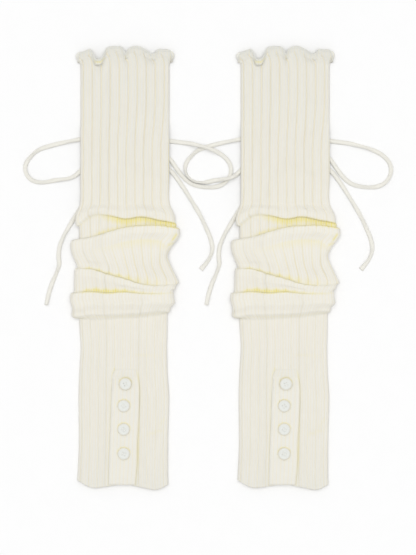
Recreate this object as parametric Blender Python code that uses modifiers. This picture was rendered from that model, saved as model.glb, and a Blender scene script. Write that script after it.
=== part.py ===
"""A pair of ruffle leg warmers in wide-rib knit, laid flat side by side.

Each one is a flattened tube whose slack is pushed into folds below the middle. It has a fluted top
edge, a buttoned placket at the foot, and a tie in a bow on its back, whose loops and tails lie out
on the surface. +Y points to the fluted tops and +Z up from the surface.
"""

import math

import bmesh
import bpy
import numpy as np
from mathutils import Vector

# Every size and place below is in millimetres, and MM turns them into Blender's metres.
MM = 0.001
GAP = 0.3

# Places on a leg warmer are measured from its own middle, half of this from the pair's middle.
PAIR_SPACING = 192.0

# Thickness of the flattened tube, from the surface up.
BACK_WALL = 2.0
SLIT = 0.8
FRONT_WALL = 2.4
FLAT_TOP = BACK_WALL + SLIT + FRONT_WALL
# What the same layers come to where they are pressed over the tie.
PRESSED_BACK = 1.1
PRESSED_SLIT = 0.5
SIDE_WALL = 2.2

# Ribs, as shares of the half way round: the first groove, then one for each pitch, up to the last.
GROOVES = 11
FIRST_GROOVE = 0.045
LAST_GROOVE = 0.99
GROOVE_HALF_WIDTH = 0.0115
GROOVE_DEPTH = 0.9
RIB_PITCH = (
    # y, pitch
    (-60.0, 0.0890),
    (90.0, 0.0945),
    (150.0, 0.0945),
    (190.0, 0.0985),
)
# The plain underside and inside have one column of points for each rib, at these shares.
COLUMNS = [(number + 0.5) / GROOVES for number in range(GROOVES)]
UNDERSIDE = [2.0 - share for share in reversed(COLUMNS)] + [2.0]
PLAIN_SHARES = COLUMNS + [1.0] + UNDERSIDE
# Which points of an outer ring, three for each groove on the front, stand next to those.
PLAIN_POINTS = [3 * number + 1 for number in range(GROOVES)]
PLAIN_POINTS += [3 * GROOVES + number for number in range(len(UNDERSIDE) + 1)]
# The inside's rows through the slack, where it stays plain.
INNER_SLACK_ROWS = (
    # y, left, right
    (66.0, -53.8, 53.0),
    (54.0, -54.0, 53.0),
    (40.0, -54.4, 52.0),
    (0.0, -55.0, 51.5),
    (-40.0, -55.0, 51.5),
)

# Lines across the cloth are read at its two edges and at these places between them.
STATIONS = (-40.0, -20.0, 0.0, 20.0, 40.0)

# The fluted top: its outline, left to right. A lip rises where its outline falls back.
FLUTES = (
    # x, y
    (-57.0, 254.0), (-50.6, 258.5), (-42.8, 262.1), (-37.0, 256.5), (-32.6, 252.2), (-26.0, 259.5),
    (-19.4, 265.4), (-12.2, 266.0), (-4.5, 265.0), (1.0, 259.7), (6.0, 264.2), (12.0, 266.0),
    (19.0, 265.8), (26.0, 261.5), (31.9, 258.0), (39.4, 262.1), (46.0, 263.0), (52.6, 261.5),
    (57.4, 255.0),
)
FLUTE_TOP = 266.0
FLUTE_RISE = 0.42
FLUTE_BASE = 241.0
BACK_LIP_SHARE = 0.35
BACK_LIP_Y = 256.0
# Rows up the flutes: share of the way to the lip, how far short of it, and how much the edge's
# rolled band stands out.
FLUTE_ROWS = (
    # share, short_of_lip, band
    (1.00, 0.0, 0.1),
    (1.00, 2.6, 0.8),
    (1.00, 5.2, -0.2),
    (0.50, 0.0, 0.0),
)

# Plain rows of the upper and lower tube.
UPPER_ROWS = (
    # y, left, right
    (241.0, -53.4, 53.2),
    (205.0, -53.4, 53.2),
    (173.0, -53.3, 53.2),
    (162.0, -53.3, 53.2),
    (151.0, -53.3, 53.2),
    (140.0, -53.3, 53.2),
    (129.0, -53.3, 53.2),
    (118.0, -53.3, 53.2),
    (107.0, -53.4, 53.0),
    (96.0, -53.4, 52.9),
    (86.0, -53.3, 52.8),
    (77.0, -53.8, 53.6),
)
LOWER_ROWS = (
    # y, left, right
    (-76.0, -54.4, 50.8),
    (-94.0, -53.2, 50.3),
    (-127.0, -54.8, 51.0),
    (-157.0, -55.7, 52.8),
    (-207.0, -55.2, 51.6),
    (-246.0, -56.8, 51.4),
)
HEM_LEFT = (-255.0, -57.4)
HEM_Y = (-263.8, -262.2, -260.0, -263.6, -266.0)
HEM_RIGHT = (-260.0, 52.0)

# The pushed-down folds, top to bottom. way is -1 where the cloth above lies over, 1 where the cloth
# below does, and 0 on a line with no overlap. Each side's outline is given in the hollow and on the
# fold, the heights there at left, middle and right, and last how far the ribs lean to the right.
FOLDS = (
    # name, way, y at left, the stations and right,
    # left in hollow and on fold, right in hollow and on fold, low, high, lean in hollow and on fold
    ("upper edge of slack", -1, (55.9, 62.4, 61.8, 57.6, 60.1, 56.2, 52.5),
     (-55.4, -57.2), (61.0, 61.8), (6.2, 6.0, 6.0), (11.0, 11.5, 12.0), (0.0, 1.0)),
    ("second roll", 1, (33.4, 37.0, 43.0, 48.2, 50.2, 50.5, 45.0),
     (-54.8, -65.4), (61.5, 66.0), (6.2, 6.0, 6.5), (14.0, 15.5, 15.0), (0.0, -4.5)),
    ("second roll's foot", 0, (19.0, 21.0, 24.5, 30.0, 32.6, 31.0, 25.0),
     (-64.4, -64.4), (56.6, 56.6), (12.5, 12.0, 11.0), (12.5, 12.0, 11.0), (-4.0, -4.0)),
    ("slanted panel", 0, (8.5, 9.5, 9.0, 8.0, 6.0, 4.0, 4.0),
     (-60.4, -60.4), (51.8, 51.8), (12.5, 12.5, 12.0), (12.5, 12.5, 12.0), (1.0, 1.0)),
    ("third roll", 1, (-0.1, -1.2, -7.8, -13.2, -19.4, -21.6, -20.0),
     (-57.4, -60.6), (64.8, 61.0), (8.5, 8.0, 8.5), (13.5, 14.0, 13.5), (5.0, 0.0)),
    ("fourth roll", 1, (-28.1, -28.3, -30.2, -28.9, -30.9, -31.4, -30.4),
     (-61.2, -66.0), (58.8, 60.2), (9.0, 8.5, 9.0), (14.5, 14.5, 14.0), (1.5, -1.0)),
    ("fourth roll's middle", 0, (-45.0, -43.5, -43.5, -43.0, -42.5, -42.0, -42.0),
     (-62.8, -62.8), (60.0, 60.0), (14.5, 14.5, 14.0), (14.5, 14.5, 14.0), (0.5, 0.5)),
    ("lower edge of slack", -1, (-61.0, -59.2, -59.0, -58.1, -57.1, -54.6, -54.0),
     (-54.8, -64.2), (50.9, 54.6), (5.4, 5.2, 5.2), (12.5, 13.0, 13.0), (0.0, 0.5)),
)
# How an overlap is rounded: distances from its line towards the cloth that lies over, in the
# middle and at the side edges, and the height from 0 in the hollow to 1 on the fold.
OVERLAP = (
    # front, side, height
    (-2.2, -1.6, 0.0),
    (3.0, -0.8, 0.0),
    (0.0, 0.0, 0.52),
    (1.6, 1.6, 0.88),
)
CREST_REACH = 7.0
CREST_SHARE = 0.42

# How fast the outline's bulges fade towards the middle.
BULGE_POWER = 4
# The edges that the ribs keep to, away from the outline's own bulges.
RIB_EDGES = (
    # y, left, right
    (-90.0, -54.4, 50.8),
    (-50.0, -57.0, 54.0),
    (40.0, -58.0, 57.5),
    (75.0, -53.6, 53.4),
)

# The placket band on the lower tube's front, with its four buttons.
PLACKET = (
    # y, left, right
    (-121.5, -11.6, 13.4),
    (-130.0, -15.0, 15.2),
    (-140.0, -15.8, 16.9),
    (-157.0, -16.5, 17.4),
    (-185.0, -17.4, 16.3),
    (-210.0, -18.5, 15.0),
    (-235.0, -19.3, 14.5),
    (-260.4, -19.7, 12.4),
)
PLACKET_THICKNESS = 2.2
PLACKET_ROUNDING = 0.6
PLACKET_COLUMNS = 4
BUTTONS = ((0.6, -139.6), (-1.4, -165.8), (-1.4, -193.8), (-1.4, -223.0))
BUTTON_PROFILE = (
    # radius, height
    (0.0, 1.7), (4.6, 1.9), (6.2, 2.8), (7.1, 2.6), (7.5, 1.5), (6.6, 0.0), (0.0, 0.0),
)
BUTTON_STEPS = 20

# The tie: a round stand-in for its flat tape, tied in a bow on the back.
TIE_DIAMETER = 3.8
TIE_STEP = 9.2
KNOT_CENTRE = (1.0, 152.0)
KNOT_SIZE = (15.0, 12.0, 4.4)
KNOT_WAIST = 0.72
# How far round a hidden run the underside stays lifted, and where it is down again.
LIFT_FLAT = 8.5
LIFT_REACH = 22.0
KNOT_LIFT_FLAT = 13.0
KNOT_LIFT_REACH = 30.0
LIFT_CLEARANCE = 0.5
FRONT_LIFT_SHARE = 0.58
# The runs under the tube are those nearer its middle line than this.
HIDDEN_WITHIN = 62.0
TIE_ROUTES = {
    "tie_loop_left": (
        (-6.6, 155.0), (-20.0, 156.5), (-36.0, 156.0), (-53.0, 153.8), (-64.4, 151.7),
        (-73.7, 149.8), (-82.8, 147.6), (-92.8, 144.8), (-100.1, 142.4), (-106.8, 138.7),
        (-112.4, 133.4), (-117.4, 127.3), (-119.8, 121.2), (-119.3, 114.6), (-116.6, 109.0),
        (-112.0, 104.8), (-105.8, 102.4), (-98.9, 101.9), (-91.4, 102.8), (-84.7, 104.3),
        (-76.7, 105.4), (-69.0, 106.4), (-61.5, 109.2), (-54.5, 115.0), (-48.0, 123.5),
        (-40.5, 132.5), (-30.0, 140.5), (-18.0, 146.5), (-6.6, 149.4),
    ),
    "tie_loop_right": (
        (8.6, 155.0), (22.0, 155.5), (38.0, 153.8), (53.5, 151.7), (61.2, 150.6), (69.5, 149.6),
        (79.2, 148.2), (86.0, 146.5), (94.3, 144.5), (102.7, 141.7), (111.0, 138.0),
        (118.6, 132.8), (124.2, 126.4), (126.8, 119.4), (126.2, 111.8), (122.4, 104.4),
        (115.6, 98.9), (107.5, 96.4), (99.6, 96.0), (91.6, 96.8), (83.2, 98.7), (75.4, 102.9),
        (68.5, 109.7), (61.9, 118.4), (56.8, 126.0), (50.5, 132.8), (41.0, 138.5), (26.0, 144.5),
        (8.6, 149.2),
    ),
    "tie_tail_left": (
        (-3.0, 145.4), (-9.0, 135.5), (-20.0, 121.5), (-32.0, 104.0), (-44.0, 85.8),
        (-54.8, 69.2), (-64.2, 54.0), (-73.2, 38.8), (-78.6, 24.8), (-79.8, 13.5), (-79.0, 4.0),
        (-82.0, -6.0), (-87.8, -19.6), (-92.0, -32.8), (-94.7, -45.1),
    ),
    "tie_tail_right": (
        (6.0, 145.4), (12.5, 138.5), (26.0, 131.5), (41.5, 124.6), (55.2, 115.1), (65.2, 102.6),
        (76.3, 85.6), (88.0, 66.0), (97.0, 47.6), (102.8, 33.0), (104.6, 21.8), (101.4, 11.2),
        (95.8, 3.2), (90.8, -2.5),
    ),
}
# Where a tie passes over another: the middle of its low hump, how far it stays up and its reach.
HUMPS = {
    ("left", "tie_loop_right"): ((93.6, 144.7), 9.0, 26.0),
    ("right", "tie_loop_left"): ((-69.2, 106.3), 4.5, 14.5),
}

CREAM = (0.86, 0.835, 0.745, 1.0)
CREAM_TAPE = (0.83, 0.815, 0.74, 1.0)
PEARL = (0.80, 0.83, 0.80, 1.0)


def eased(share):
    """0 to 1 with level ends."""
    share = min(max(share, 0.0), 1.0)
    return share * share * (3 - 2 * share)


def between(low, high, share):
    return low + (high - low) * share


def curve_at(places, values, place):
    """A smooth curve through the values at rising places, held level past its ends."""
    place = min(max(place, places[0]), places[-1])
    slopes = np.gradient(np.array(values, float), np.array(places, float))
    after = min(max(int(np.searchsorted(places, place)), 1), len(places) - 1)
    start, end = places[after - 1], places[after]
    span = end - start
    t = (place - start) / span
    return (
        (2 * t**3 - 3 * t**2 + 1) * values[after - 1]
        + (t**3 - 2 * t**2 + t) * span * slopes[after - 1]
        + (3 * t**2 - 2 * t**3) * values[after]
        + (t**3 - t**2) * span * slopes[after]
    )


def smooth_route(points):
    """Points a tie step apart on a smooth curve through the route's own points."""
    points = np.array(points, float)
    lengths = np.concatenate([[0], np.cumsum(np.linalg.norm(np.diff(points, axis=0), axis=1))])
    fine = np.linspace(0, lengths[-1], 400)
    curve = np.array([[curve_at(lengths, points[:, k], s) for k in (0, 1)] for s in fine])
    run = np.concatenate([[0], np.cumsum(np.linalg.norm(np.diff(curve, axis=0), axis=1))])
    even = np.linspace(0, run[-1], round(run[-1] / TIE_STEP) + 1)
    return np.stack([np.interp(even, run, curve[:, k]) for k in (0, 1)], axis=1)


SMOOTH_ROUTES = {name: smooth_route(points) for name, points in TIE_ROUTES.items()}


def hidden_pieces():
    """The straight pieces of the tie that lie under the tube, as their starts and directions."""
    pieces = [
        (start, end - start)
        for route in SMOOTH_ROUTES.values()
        for start, end in zip(route, route[1:])
        if abs(start[0]) < HIDDEN_WITHIN and abs(end[0]) < HIDDEN_WITHIN
    ]
    return [np.array(part) for part in zip(*pieces)]


HIDDEN_STARTS, HIDDEN_STEPS = hidden_pieces()


def hidden_lift(x, y):
    """How far the underside stands off the surface where the tie and its knot lie below it."""
    to_place = np.array([x, y]) - HIDDEN_STARTS
    share = np.clip((to_place * HIDDEN_STEPS).sum(axis=1) / (HIDDEN_STEPS**2).sum(axis=1), 0, 1)
    away = np.linalg.norm(to_place - HIDDEN_STEPS * share[:, None], axis=1).min()
    tie = (TIE_DIAMETER + LIFT_CLEARANCE) * eased((LIFT_REACH - away) / (LIFT_REACH - LIFT_FLAT))
    away = math.dist((x, y), KNOT_CENTRE)
    knot = eased((KNOT_LIFT_REACH - away) / (KNOT_LIFT_REACH - KNOT_LIFT_FLAT))
    return max(tie, (KNOT_SIZE[2] + LIFT_CLEARANCE) * knot)


class Row:
    """One line round the tube: where it runs across the front and the back, and how high."""

    def __init__(
        self, left, right, front_y, top, back_y=None, back_z=None, fluted=0.0, lean=0.0, pressed=1.0
    ):
        """front_y, top, back_y and back_z are functions of the place across; lean is in millimetres.

        A fluted row has no grooves, and its points are as far apart all over the front. A groove
        fades out as it turns under. pressed is 0 where the cloth above is deep enough to keep its
        full thickness over the tie.
        """
        self.left, self.right = left, right
        self.front_y, self.top = front_y, top
        self.back_y = back_y or (lambda x: between(front_y(left), front_y(right), self.across(x)))
        self.back_z = back_z or (lambda x: 0.0)
        self.fluted, self.lean, self.pressed = fluted, lean, pressed
        middle = front_y(0.0)
        self.pitch = curve_at(*zip(*RIB_PITCH), middle)
        ys, lefts, rights = zip(*RIB_EDGES)
        self.rib_left = curve_at(ys, lefts, middle) if ys[0] < middle < ys[-1] else left
        self.rib_right = curve_at(ys, rights, middle) if ys[0] < middle < ys[-1] else right

    def across(self, x):
        return (x - self.left) / (self.right - self.left)

    def place(self, q):
        """Place across, outward and upward direction and height share at q.

        q is 0 to 1 over the front from left to right, and 1 to 2 back along the underside.
        """
        over = q <= 1.0
        q = q if over else 2.0 - q
        left, right = self.rib_left, self.rib_right
        round_left, round_right = self.top(self.left) / 2, self.top(self.right) / 2
        arc_left, arc_right = math.pi / 2 * round_left, math.pi / 2 * round_right
        flat = right - left - round_left - round_right
        s = q * (arc_left + flat + arc_right)
        if s < arc_left:
            turn = s / round_left
            x, outward = left + round_left * (1 - math.cos(turn)), -math.cos(turn)
        elif s > arc_left + flat:
            turn = (arc_left + flat + arc_right - s) / round_right
            x, outward = right - round_right * (1 - math.cos(turn)), math.cos(turn)
        else:
            turn = math.pi / 2
            x, outward = left + round_left + s - arc_left, 0.0
        up = math.sin(turn) if over else -math.sin(turn)
        height = (1 + up) / 2
        across = (x - left) / (right - left)
        x += (self.left - left) * (1 - across) ** BULGE_POWER
        x += (self.right - right) * across**BULGE_POWER
        x += self.lean * math.sin(math.pi * across) * height
        return x, outward, up, height

    def outer(self, q, groove=0.0):
        x, outward, up, height = self.place(q)
        y = between(self.back_y(x), self.front_y(x), eased(height))
        lift = hidden_lift(x, y)
        under = max(lift, self.back_z(x))
        z = between(under, self.top(x) + FRONT_LIFT_SHARE * lift, height)
        depth = GROOVE_DEPTH * groove * (1 - self.fluted) * min(1.0 + up, 1.0)
        return Vector((x - depth * outward, y, z - depth * up))

    def inner(self, q):
        x, _, _, height = self.place(q)
        x = min(max(x, self.left + SIDE_WALL), self.right - SIDE_WALL)
        y = between(self.back_y(x), self.front_y(x), eased(height))
        lift = hidden_lift(x, y)
        pressed = min(lift / (TIE_DIAMETER + LIFT_CLEARANCE), 1.0) * self.pressed
        floor = max(lift, self.back_z(x)) + between(BACK_WALL, PRESSED_BACK, pressed)
        roof = max(
            floor + between(SLIT, PRESSED_SLIT, pressed),
            self.top(x) - FRONT_WALL if self.fluted else 0.0,
        )
        return Vector((x, y, between(floor, roof, height)))


def stationed(left, values, right):
    """A smooth curve across the cloth through values at its two edges and the stations."""
    places = (left,) + STATIONS + (right,)
    return lambda x: curve_at(places, values, x)


def flat_row(y, left, right, pressed=1.0):
    return Row(left, right, lambda x: y, lambda x: FLAT_TOP, pressed=pressed)


def lip_y(x):
    places, heights = zip(*FLUTES)
    return curve_at(places, heights, x)


def flute_row(share, short, band):
    """A row of the fluted top, where the lip rises as its outline falls back."""
    base = UPPER_ROWS[0]
    spread = share * share
    left = between(base[1], FLUTES[0][0], spread)
    right = between(base[2], FLUTES[-1][0], spread)

    def rise(x):
        return FLUTE_RISE * (FLUTE_TOP - lip_y(x)) * spread

    def front_y(x):
        return between(FLUTE_BASE, lip_y(x), share) - short

    def back_y(x):
        lip = BACK_LIP_Y + (lip_y(x) - BACK_LIP_Y) * BACK_LIP_SHARE
        return between(FLUTE_BASE, lip, share) - short

    def top(x):
        return FLAT_TOP + rise(x) + band

    def back_z(x):
        return rise(x) * BACK_LIP_SHARE

    return Row(left, right, front_y, top, back_y, back_z, fluted=spread)


def fold_gaps():
    """The room from each fold line to the next line on the side that the fold lies on."""
    lines = [np.array(fold[2]) for fold in FOLDS]
    above = [np.full(7, UPPER_ROWS[-1][0])] + lines[:-1]
    below = lines[1:] + [np.full(7, LOWER_ROWS[0][0])]
    return [
        line - after if fold[1] > 0 else before - line
        for fold, line, before, after in zip(FOLDS, lines, above, below)
    ]


def fold_rows():
    """Rows through the pushed-down slack: each overlap dips, doubles back and rolls over."""
    rows = []
    for fold, gap in zip(FOLDS, fold_gaps()):
        _, way, ys, lefts, rights, low, high, leans = fold
        steps = [(front, side, height) for front, side, height in OVERLAP]
        steps.append((CREST_REACH, CREST_REACH, 1.0))
        if way == 0:
            steps = [(0.0, 0.0, 1.0)]
        if way < 0:
            steps.reverse()
        for front, side, height in steps:
            left = between(*lefts, height)
            right = between(*rights, height)
            reach = np.full(7, front)
            reach[[0, -1]] = side
            reach = np.minimum(reach, CREST_SHARE * gap)
            line = np.array(ys) - way * reach
            levels = [between(a, b, height) for a, b in zip(low, high)]
            front_y = stationed(left, line, right)
            top = lambda x, a=left, b=right, z=levels: curve_at((a, 0.0, b), z, x)
            rows.append(Row(left, right, front_y, top, lean=between(*leans, height)))
    return rows


def hem_row():
    ys = (HEM_LEFT[0],) + HEM_Y + (HEM_RIGHT[0],)
    front_y = stationed(HEM_LEFT[1], ys, HEM_RIGHT[1])
    return Row(HEM_LEFT[1], HEM_RIGHT[1], front_y, lambda x: FLAT_TOP, back_y=front_y)


def tube_rows():
    """The outer rows from the top lip to the hem, and the rows of the inside's three stretches."""
    flutes = [flute_row(*row) for row in FLUTE_ROWS]
    upper = [flat_row(*row) for row in UPPER_ROWS]
    lower = [flat_row(*row) for row in LOWER_ROWS]
    outer = flutes + upper + fold_rows() + lower + [hem_row()]
    slack = [flat_row(*row, pressed=0.0) for row in INNER_SLACK_ROWS]
    mouth = [flutes[0], flutes[3], upper[0]]
    foot = [lower[-1], outer[-1]]
    return outer, mouth, upper[1:] + slack + [lower[0], lower[3]], foot


def outer_shares(row):
    """Shares round a row, each with its depth in a groove."""
    shares = []
    for number in range(GROOVES):
        middle = min(FIRST_GROOVE + number * row.pitch, LAST_GROOVE)
        for side in (-1, 0, 1):
            even = (number + 0.5 + side / 3) / GROOVES
            share = between(middle + side * GROOVE_HALF_WIDTH, even, row.fluted)
            shares.append((share, 0.0 if side else 1.0))
    edge = between(shares[-1][0], UNDERSIDE[0], 0.5)
    return shares + [(share, 0.0) for share in [edge] + UNDERSIDE]


def ring_faces(mesh, first, second, turned_from=None):
    """Quads between two rings of as many points, split the other way from a place onward."""
    count = len(first)
    turned_from = count if turned_from is None else turned_from
    for k in range(count):
        after = (k + 1) % count
        corners = [first[k], first[after], second[after], second[k]]
        mesh.faces.new(corners[1:] + corners[:1] if k >= turned_from else corners)


def thinned_faces(mesh, full, plain, flip=False):
    """Faces from a ring with all its points to one with its plain points only."""
    for k, start in enumerate(PLAIN_POINTS):
        after = (k + 1) % len(plain)
        end = PLAIN_POINTS[after]
        end += len(full) if end <= start else 0
        corners = [full[j % len(full)] for j in range(start, end + 1)]
        corners += [plain[after], plain[k]]
        mesh.faces.new(corners[::-1] if flip else corners)


def tube_mesh():
    """The knit tube: a ribbed outside over a plain inside, closed at the lip and the hem."""
    outer_rows, mouth_rows, middle_rows, foot_rows = tube_rows()
    mesh = bmesh.new()
    outer = [
        [mesh.verts.new(row.outer(q, groove)) for q, groove in outer_shares(row)]
        for row in outer_rows
    ]
    mouth, foot = (
        [[mesh.verts.new(row.inner(q)) for q, _ in outer_shares(row)] for row in rows]
        for rows in (mouth_rows, foot_rows)
    )
    middle = [[mesh.verts.new(row.inner(q)) for q in PLAIN_SHARES] for row in middle_rows]
    for first, second in zip(outer, outer[1:]):
        ring_faces(mesh, second, first)
    for rings, turned_from in ((mouth, None), (middle, GROOVES), (foot, None)):
        for first, second in zip(rings, rings[1:]):
            ring_faces(mesh, first, second, turned_from)
    ring_faces(mesh, outer[0], mouth[0])
    ring_faces(mesh, foot[-1], outer[-1])
    thinned_faces(mesh, mouth[-1], middle[0])
    thinned_faces(mesh, foot[0], middle[-1], flip=True)
    return mesh


def placket_mesh():
    """The band's lower face, which lies a gap above the tube's front."""
    mesh = bmesh.new()
    rows = []
    for y, left, right in PLACKET:
        places = [between(left, right, k / PLACKET_COLUMNS) for k in range(PLACKET_COLUMNS + 1)]
        rows.append([mesh.verts.new((x, y, FLAT_TOP + GAP)) for x in places])
    for first, second in zip(rows, rows[1:]):
        for k in range(PLACKET_COLUMNS):
            mesh.faces.new((first[k], second[k], second[k + 1], first[k + 1]))
    return mesh


def button_mesh():
    mesh = bmesh.new()
    points = [mesh.verts.new((radius, 0.0, height)) for radius, height in BUTTON_PROFILE]
    for first, second in zip(points, points[1:]):
        mesh.edges.new((first, second))
    return mesh


def knot_mesh():
    """A flat pillow with a waist, for the pulled-tight middle of the bow."""
    mesh = bmesh.new()
    bmesh.ops.create_cube(mesh, size=1.0)
    across = [edge for edge in mesh.edges if abs(edge.verts[0].co.y - edge.verts[1].co.y) < 0.5
              and abs(edge.verts[0].co.z - edge.verts[1].co.z) < 0.5]
    bmesh.ops.subdivide_edges(mesh, edges=across, cuts=3, use_grid_fill=True)
    for point in mesh.verts:
        pinch = between(KNOT_WAIST, 1.0, min(abs(point.co.x) * 4, 1.0))
        point.co = Vector((
            KNOT_CENTRE[0] + point.co.x * KNOT_SIZE[0],
            KNOT_CENTRE[1] + point.co.y * KNOT_SIZE[1] * pinch,
            (point.co.z + 0.5) * KNOT_SIZE[2],
        ))
    return mesh


def material(name, colour, roughness):
    made = bpy.data.materials.new(name)
    made.use_nodes = True
    shader = made.node_tree.nodes["Principled BSDF"]
    shader.inputs["Base Color"].default_value = colour
    shader.inputs["Roughness"].default_value = roughness
    shader.inputs["Metallic"].default_value = 0.0
    return made


def mesh_object(name, mesh, offset, finish, collection):
    """An object from a mesh in millimetres, shifted sideways to its leg warmer's place."""
    bmesh.ops.scale(mesh, vec=(MM, MM, MM), verts=mesh.verts)
    data = bpy.data.meshes.new(name)
    mesh.to_mesh(data)
    mesh.free()
    data.materials.append(finish)
    made = bpy.data.objects.new(name, data)
    made.location.x = offset * MM
    collection.objects.link(made)
    return made


def add_placket(name, offset, finish, collection):
    made = mesh_object(name, placket_mesh(), offset, finish, collection)
    thick = made.modifiers.new("thickness", "SOLIDIFY")
    thick.thickness = PLACKET_THICKNESS * MM
    thick.offset = 1.0
    edges = made.modifiers.new("rounded edges", "BEVEL")
    edges.width = PLACKET_ROUNDING * MM
    edges.segments = 1
    edges.limit_method = "ANGLE"
    edges.angle_limit = math.radians(60)


def add_button(name, offset, x, y, finish, collection):
    made = mesh_object(name, button_mesh(), offset, finish, collection)
    made.location = Vector((offset + x, y, FLAT_TOP + GAP + PLACKET_THICKNESS + GAP)) * MM
    turned = made.modifiers.new("turned", "SCREW")
    turned.steps = turned.render_steps = BUTTON_STEPS
    turned.use_merge_vertices = True
    turned.merge_threshold = 0.00005


def add_knot(name, offset, finish, collection):
    made = mesh_object(name, knot_mesh(), offset, finish, collection)
    soft = made.modifiers.new("soft", "SUBSURF")
    soft.levels = soft.render_levels = 1


def tie_height(side, name, x, y):
    """A tie lies on the surface and passes over another in a long low hump."""
    height = TIE_DIAMETER / 2
    if (side, name) in HUMPS:
        middle, flat, reach = HUMPS[side, name]
        away = math.dist((x, y), middle)
        height += (TIE_DIAMETER + GAP) * eased((reach - away) / (reach - flat))
    return height


def add_tie(side, name, offset, finish, collection):
    route = SMOOTH_ROUTES[name]
    data = bpy.data.curves.new(f"{side}_{name}", "CURVE")
    data.dimensions = "3D"
    data.bevel_depth = TIE_DIAMETER / 2 * MM
    data.bevel_resolution = 2
    data.use_fill_caps = True
    line = data.splines.new("POLY")
    line.points.add(len(route) - 1)
    for point, (x, y) in zip(line.points, route):
        place = Vector((offset + x, y, tie_height(side, name, x, y))) * MM
        point.co = (*place, 1.0)
    data.materials.append(finish)
    collection.objects.link(bpy.data.objects.new(f"{side}_{name}", data))


def add_leg_warmer(side, offset, finishes, collection):
    knit, tape, pearl = finishes
    mesh_object(f"{side}_tube", tube_mesh(), offset, knit, collection)
    add_placket(f"{side}_placket", offset, knit, collection)
    for number, (x, y) in enumerate(BUTTONS, 1):
        add_button(f"{side}_button_{number}", offset, x, y, pearl, collection)
    add_knot(f"{side}_bow_knot", offset, tape, collection)
    for name in TIE_ROUTES:
        add_tie(side, name, offset, tape, collection)


def main():
    for old in list(bpy.data.objects):
        bpy.data.objects.remove(old)
    collection = bpy.data.collections.new("ruffle_leg_warmers")
    bpy.context.scene.collection.children.link(collection)
    finishes = (
        material("rib_knit", CREAM, 0.9),
        material("tie_tape", CREAM_TAPE, 0.85),
        material("pearl_button", PEARL, 0.3),
    )
    add_leg_warmer("left", -PAIR_SPACING / 2, finishes, collection)
    add_leg_warmer("right", PAIR_SPACING / 2, finishes, collection)


main()
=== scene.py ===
"""Looks for a pair of ruffle leg warmers in wide-rib knit, laid flat and seen from straight above.

The cloth follows the same lines as the solids, with finer folds, ribs, stitches and colours.
"""

import math

import bmesh
import bpy
import numpy as np
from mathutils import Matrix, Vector
from mathutils.bvhtree import BVHTree


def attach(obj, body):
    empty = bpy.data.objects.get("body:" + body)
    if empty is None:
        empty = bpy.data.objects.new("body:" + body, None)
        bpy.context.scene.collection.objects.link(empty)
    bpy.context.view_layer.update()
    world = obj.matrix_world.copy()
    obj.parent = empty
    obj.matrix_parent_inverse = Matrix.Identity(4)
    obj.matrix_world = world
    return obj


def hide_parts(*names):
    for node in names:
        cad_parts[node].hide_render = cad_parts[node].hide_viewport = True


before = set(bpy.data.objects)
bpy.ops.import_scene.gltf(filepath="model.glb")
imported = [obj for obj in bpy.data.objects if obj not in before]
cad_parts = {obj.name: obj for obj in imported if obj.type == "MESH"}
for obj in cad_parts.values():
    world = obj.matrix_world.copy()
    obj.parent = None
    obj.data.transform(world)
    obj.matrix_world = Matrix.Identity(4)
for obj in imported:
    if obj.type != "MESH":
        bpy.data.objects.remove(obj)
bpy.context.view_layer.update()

# Every size and place below is in millimetres, and MM turns them into the scene's metres.
MM = 0.001
GAP = 0.3

# Each leg warmer's own places are measured from its middle, here from the pair's middle.
SIDES = {"left": -96.0, "right": 96.0}

# The picture from straight above, with a lens long enough to show no slant.
VIEW_CENTRE = (3.4, -12.1)
VIEW_HEIGHT = 666.0
LENS = 135.0
SENSOR = 36.0

# Thickness of the flattened tube, from the surface up.
BACK_WALL = 2.0
SLIT = 0.8
FRONT_WALL = 2.4
FLAT_TOP = BACK_WALL + SLIT + FRONT_WALL
# What the same layers come to where they are pressed over the tie.
PRESSED_BACK = 1.1
PRESSED_SLIT = 0.5
SIDE_WALL = 2.2

# Ribs, as shares of the half way round: how many grooves, the first one's place and their pitch.
GROOVES = 11
FIRST_GROOVE = 0.045
RIB_PITCH = (
    # y, pitch
    (-60.0, 0.0890),
    (90.0, 0.0945),
    (150.0, 0.0945),
    (190.0, 0.0985),
)

# The inside's own rows where the outside lies in folds.
INNER_SLACK_ROWS = (
    # y, left, right
    (66.0, -53.8, 53.0),
    (54.0, -54.0, 53.0),
    (40.0, -54.4, 52.0),
    (0.0, -55.0, 51.5),
    (-40.0, -55.0, 51.5),
)

# Lines across the cloth are read at its two edges and at these places between them.
STATIONS = (-40.0, -20.0, 0.0, 20.0, 40.0)

# The fluted top: its outline, left to right. A lip rises where its outline falls back.
FLUTES = (
    # x, y
    (-57.0, 252.8), (-53.5, 257.4), (-50.0, 258.4), (-45.5, 260.2), (-40.5, 261.0), (-37.6, 256.4),
    (-35.6, 251.0), (-31.5, 249.4), (-27.8, 251.0), (-25.2, 256.2), (-22.4, 262.2), (-17.0, 264.6),
    (-10.0, 264.6), (-4.0, 263.8), (-1.2, 260.2), (0.6, 256.6), (3.0, 260.6), (7.0, 263.8),
    (12.0, 265.1), (19.0, 263.9), (24.0, 261.0), (28.5, 257.8), (32.4, 255.6), (36.0, 257.4),
    (39.0, 260.8), (46.0, 260.8), (52.6, 260.4), (55.8, 257.8), (57.4, 254.2),
)
FLUTE_TOP = 265.0
FLUTE_RISE = 0.28
FLUTE_BASE = 241.0
BACK_LIP_SHARE = 0.35
BACK_LIP_Y = 251.0
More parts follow.
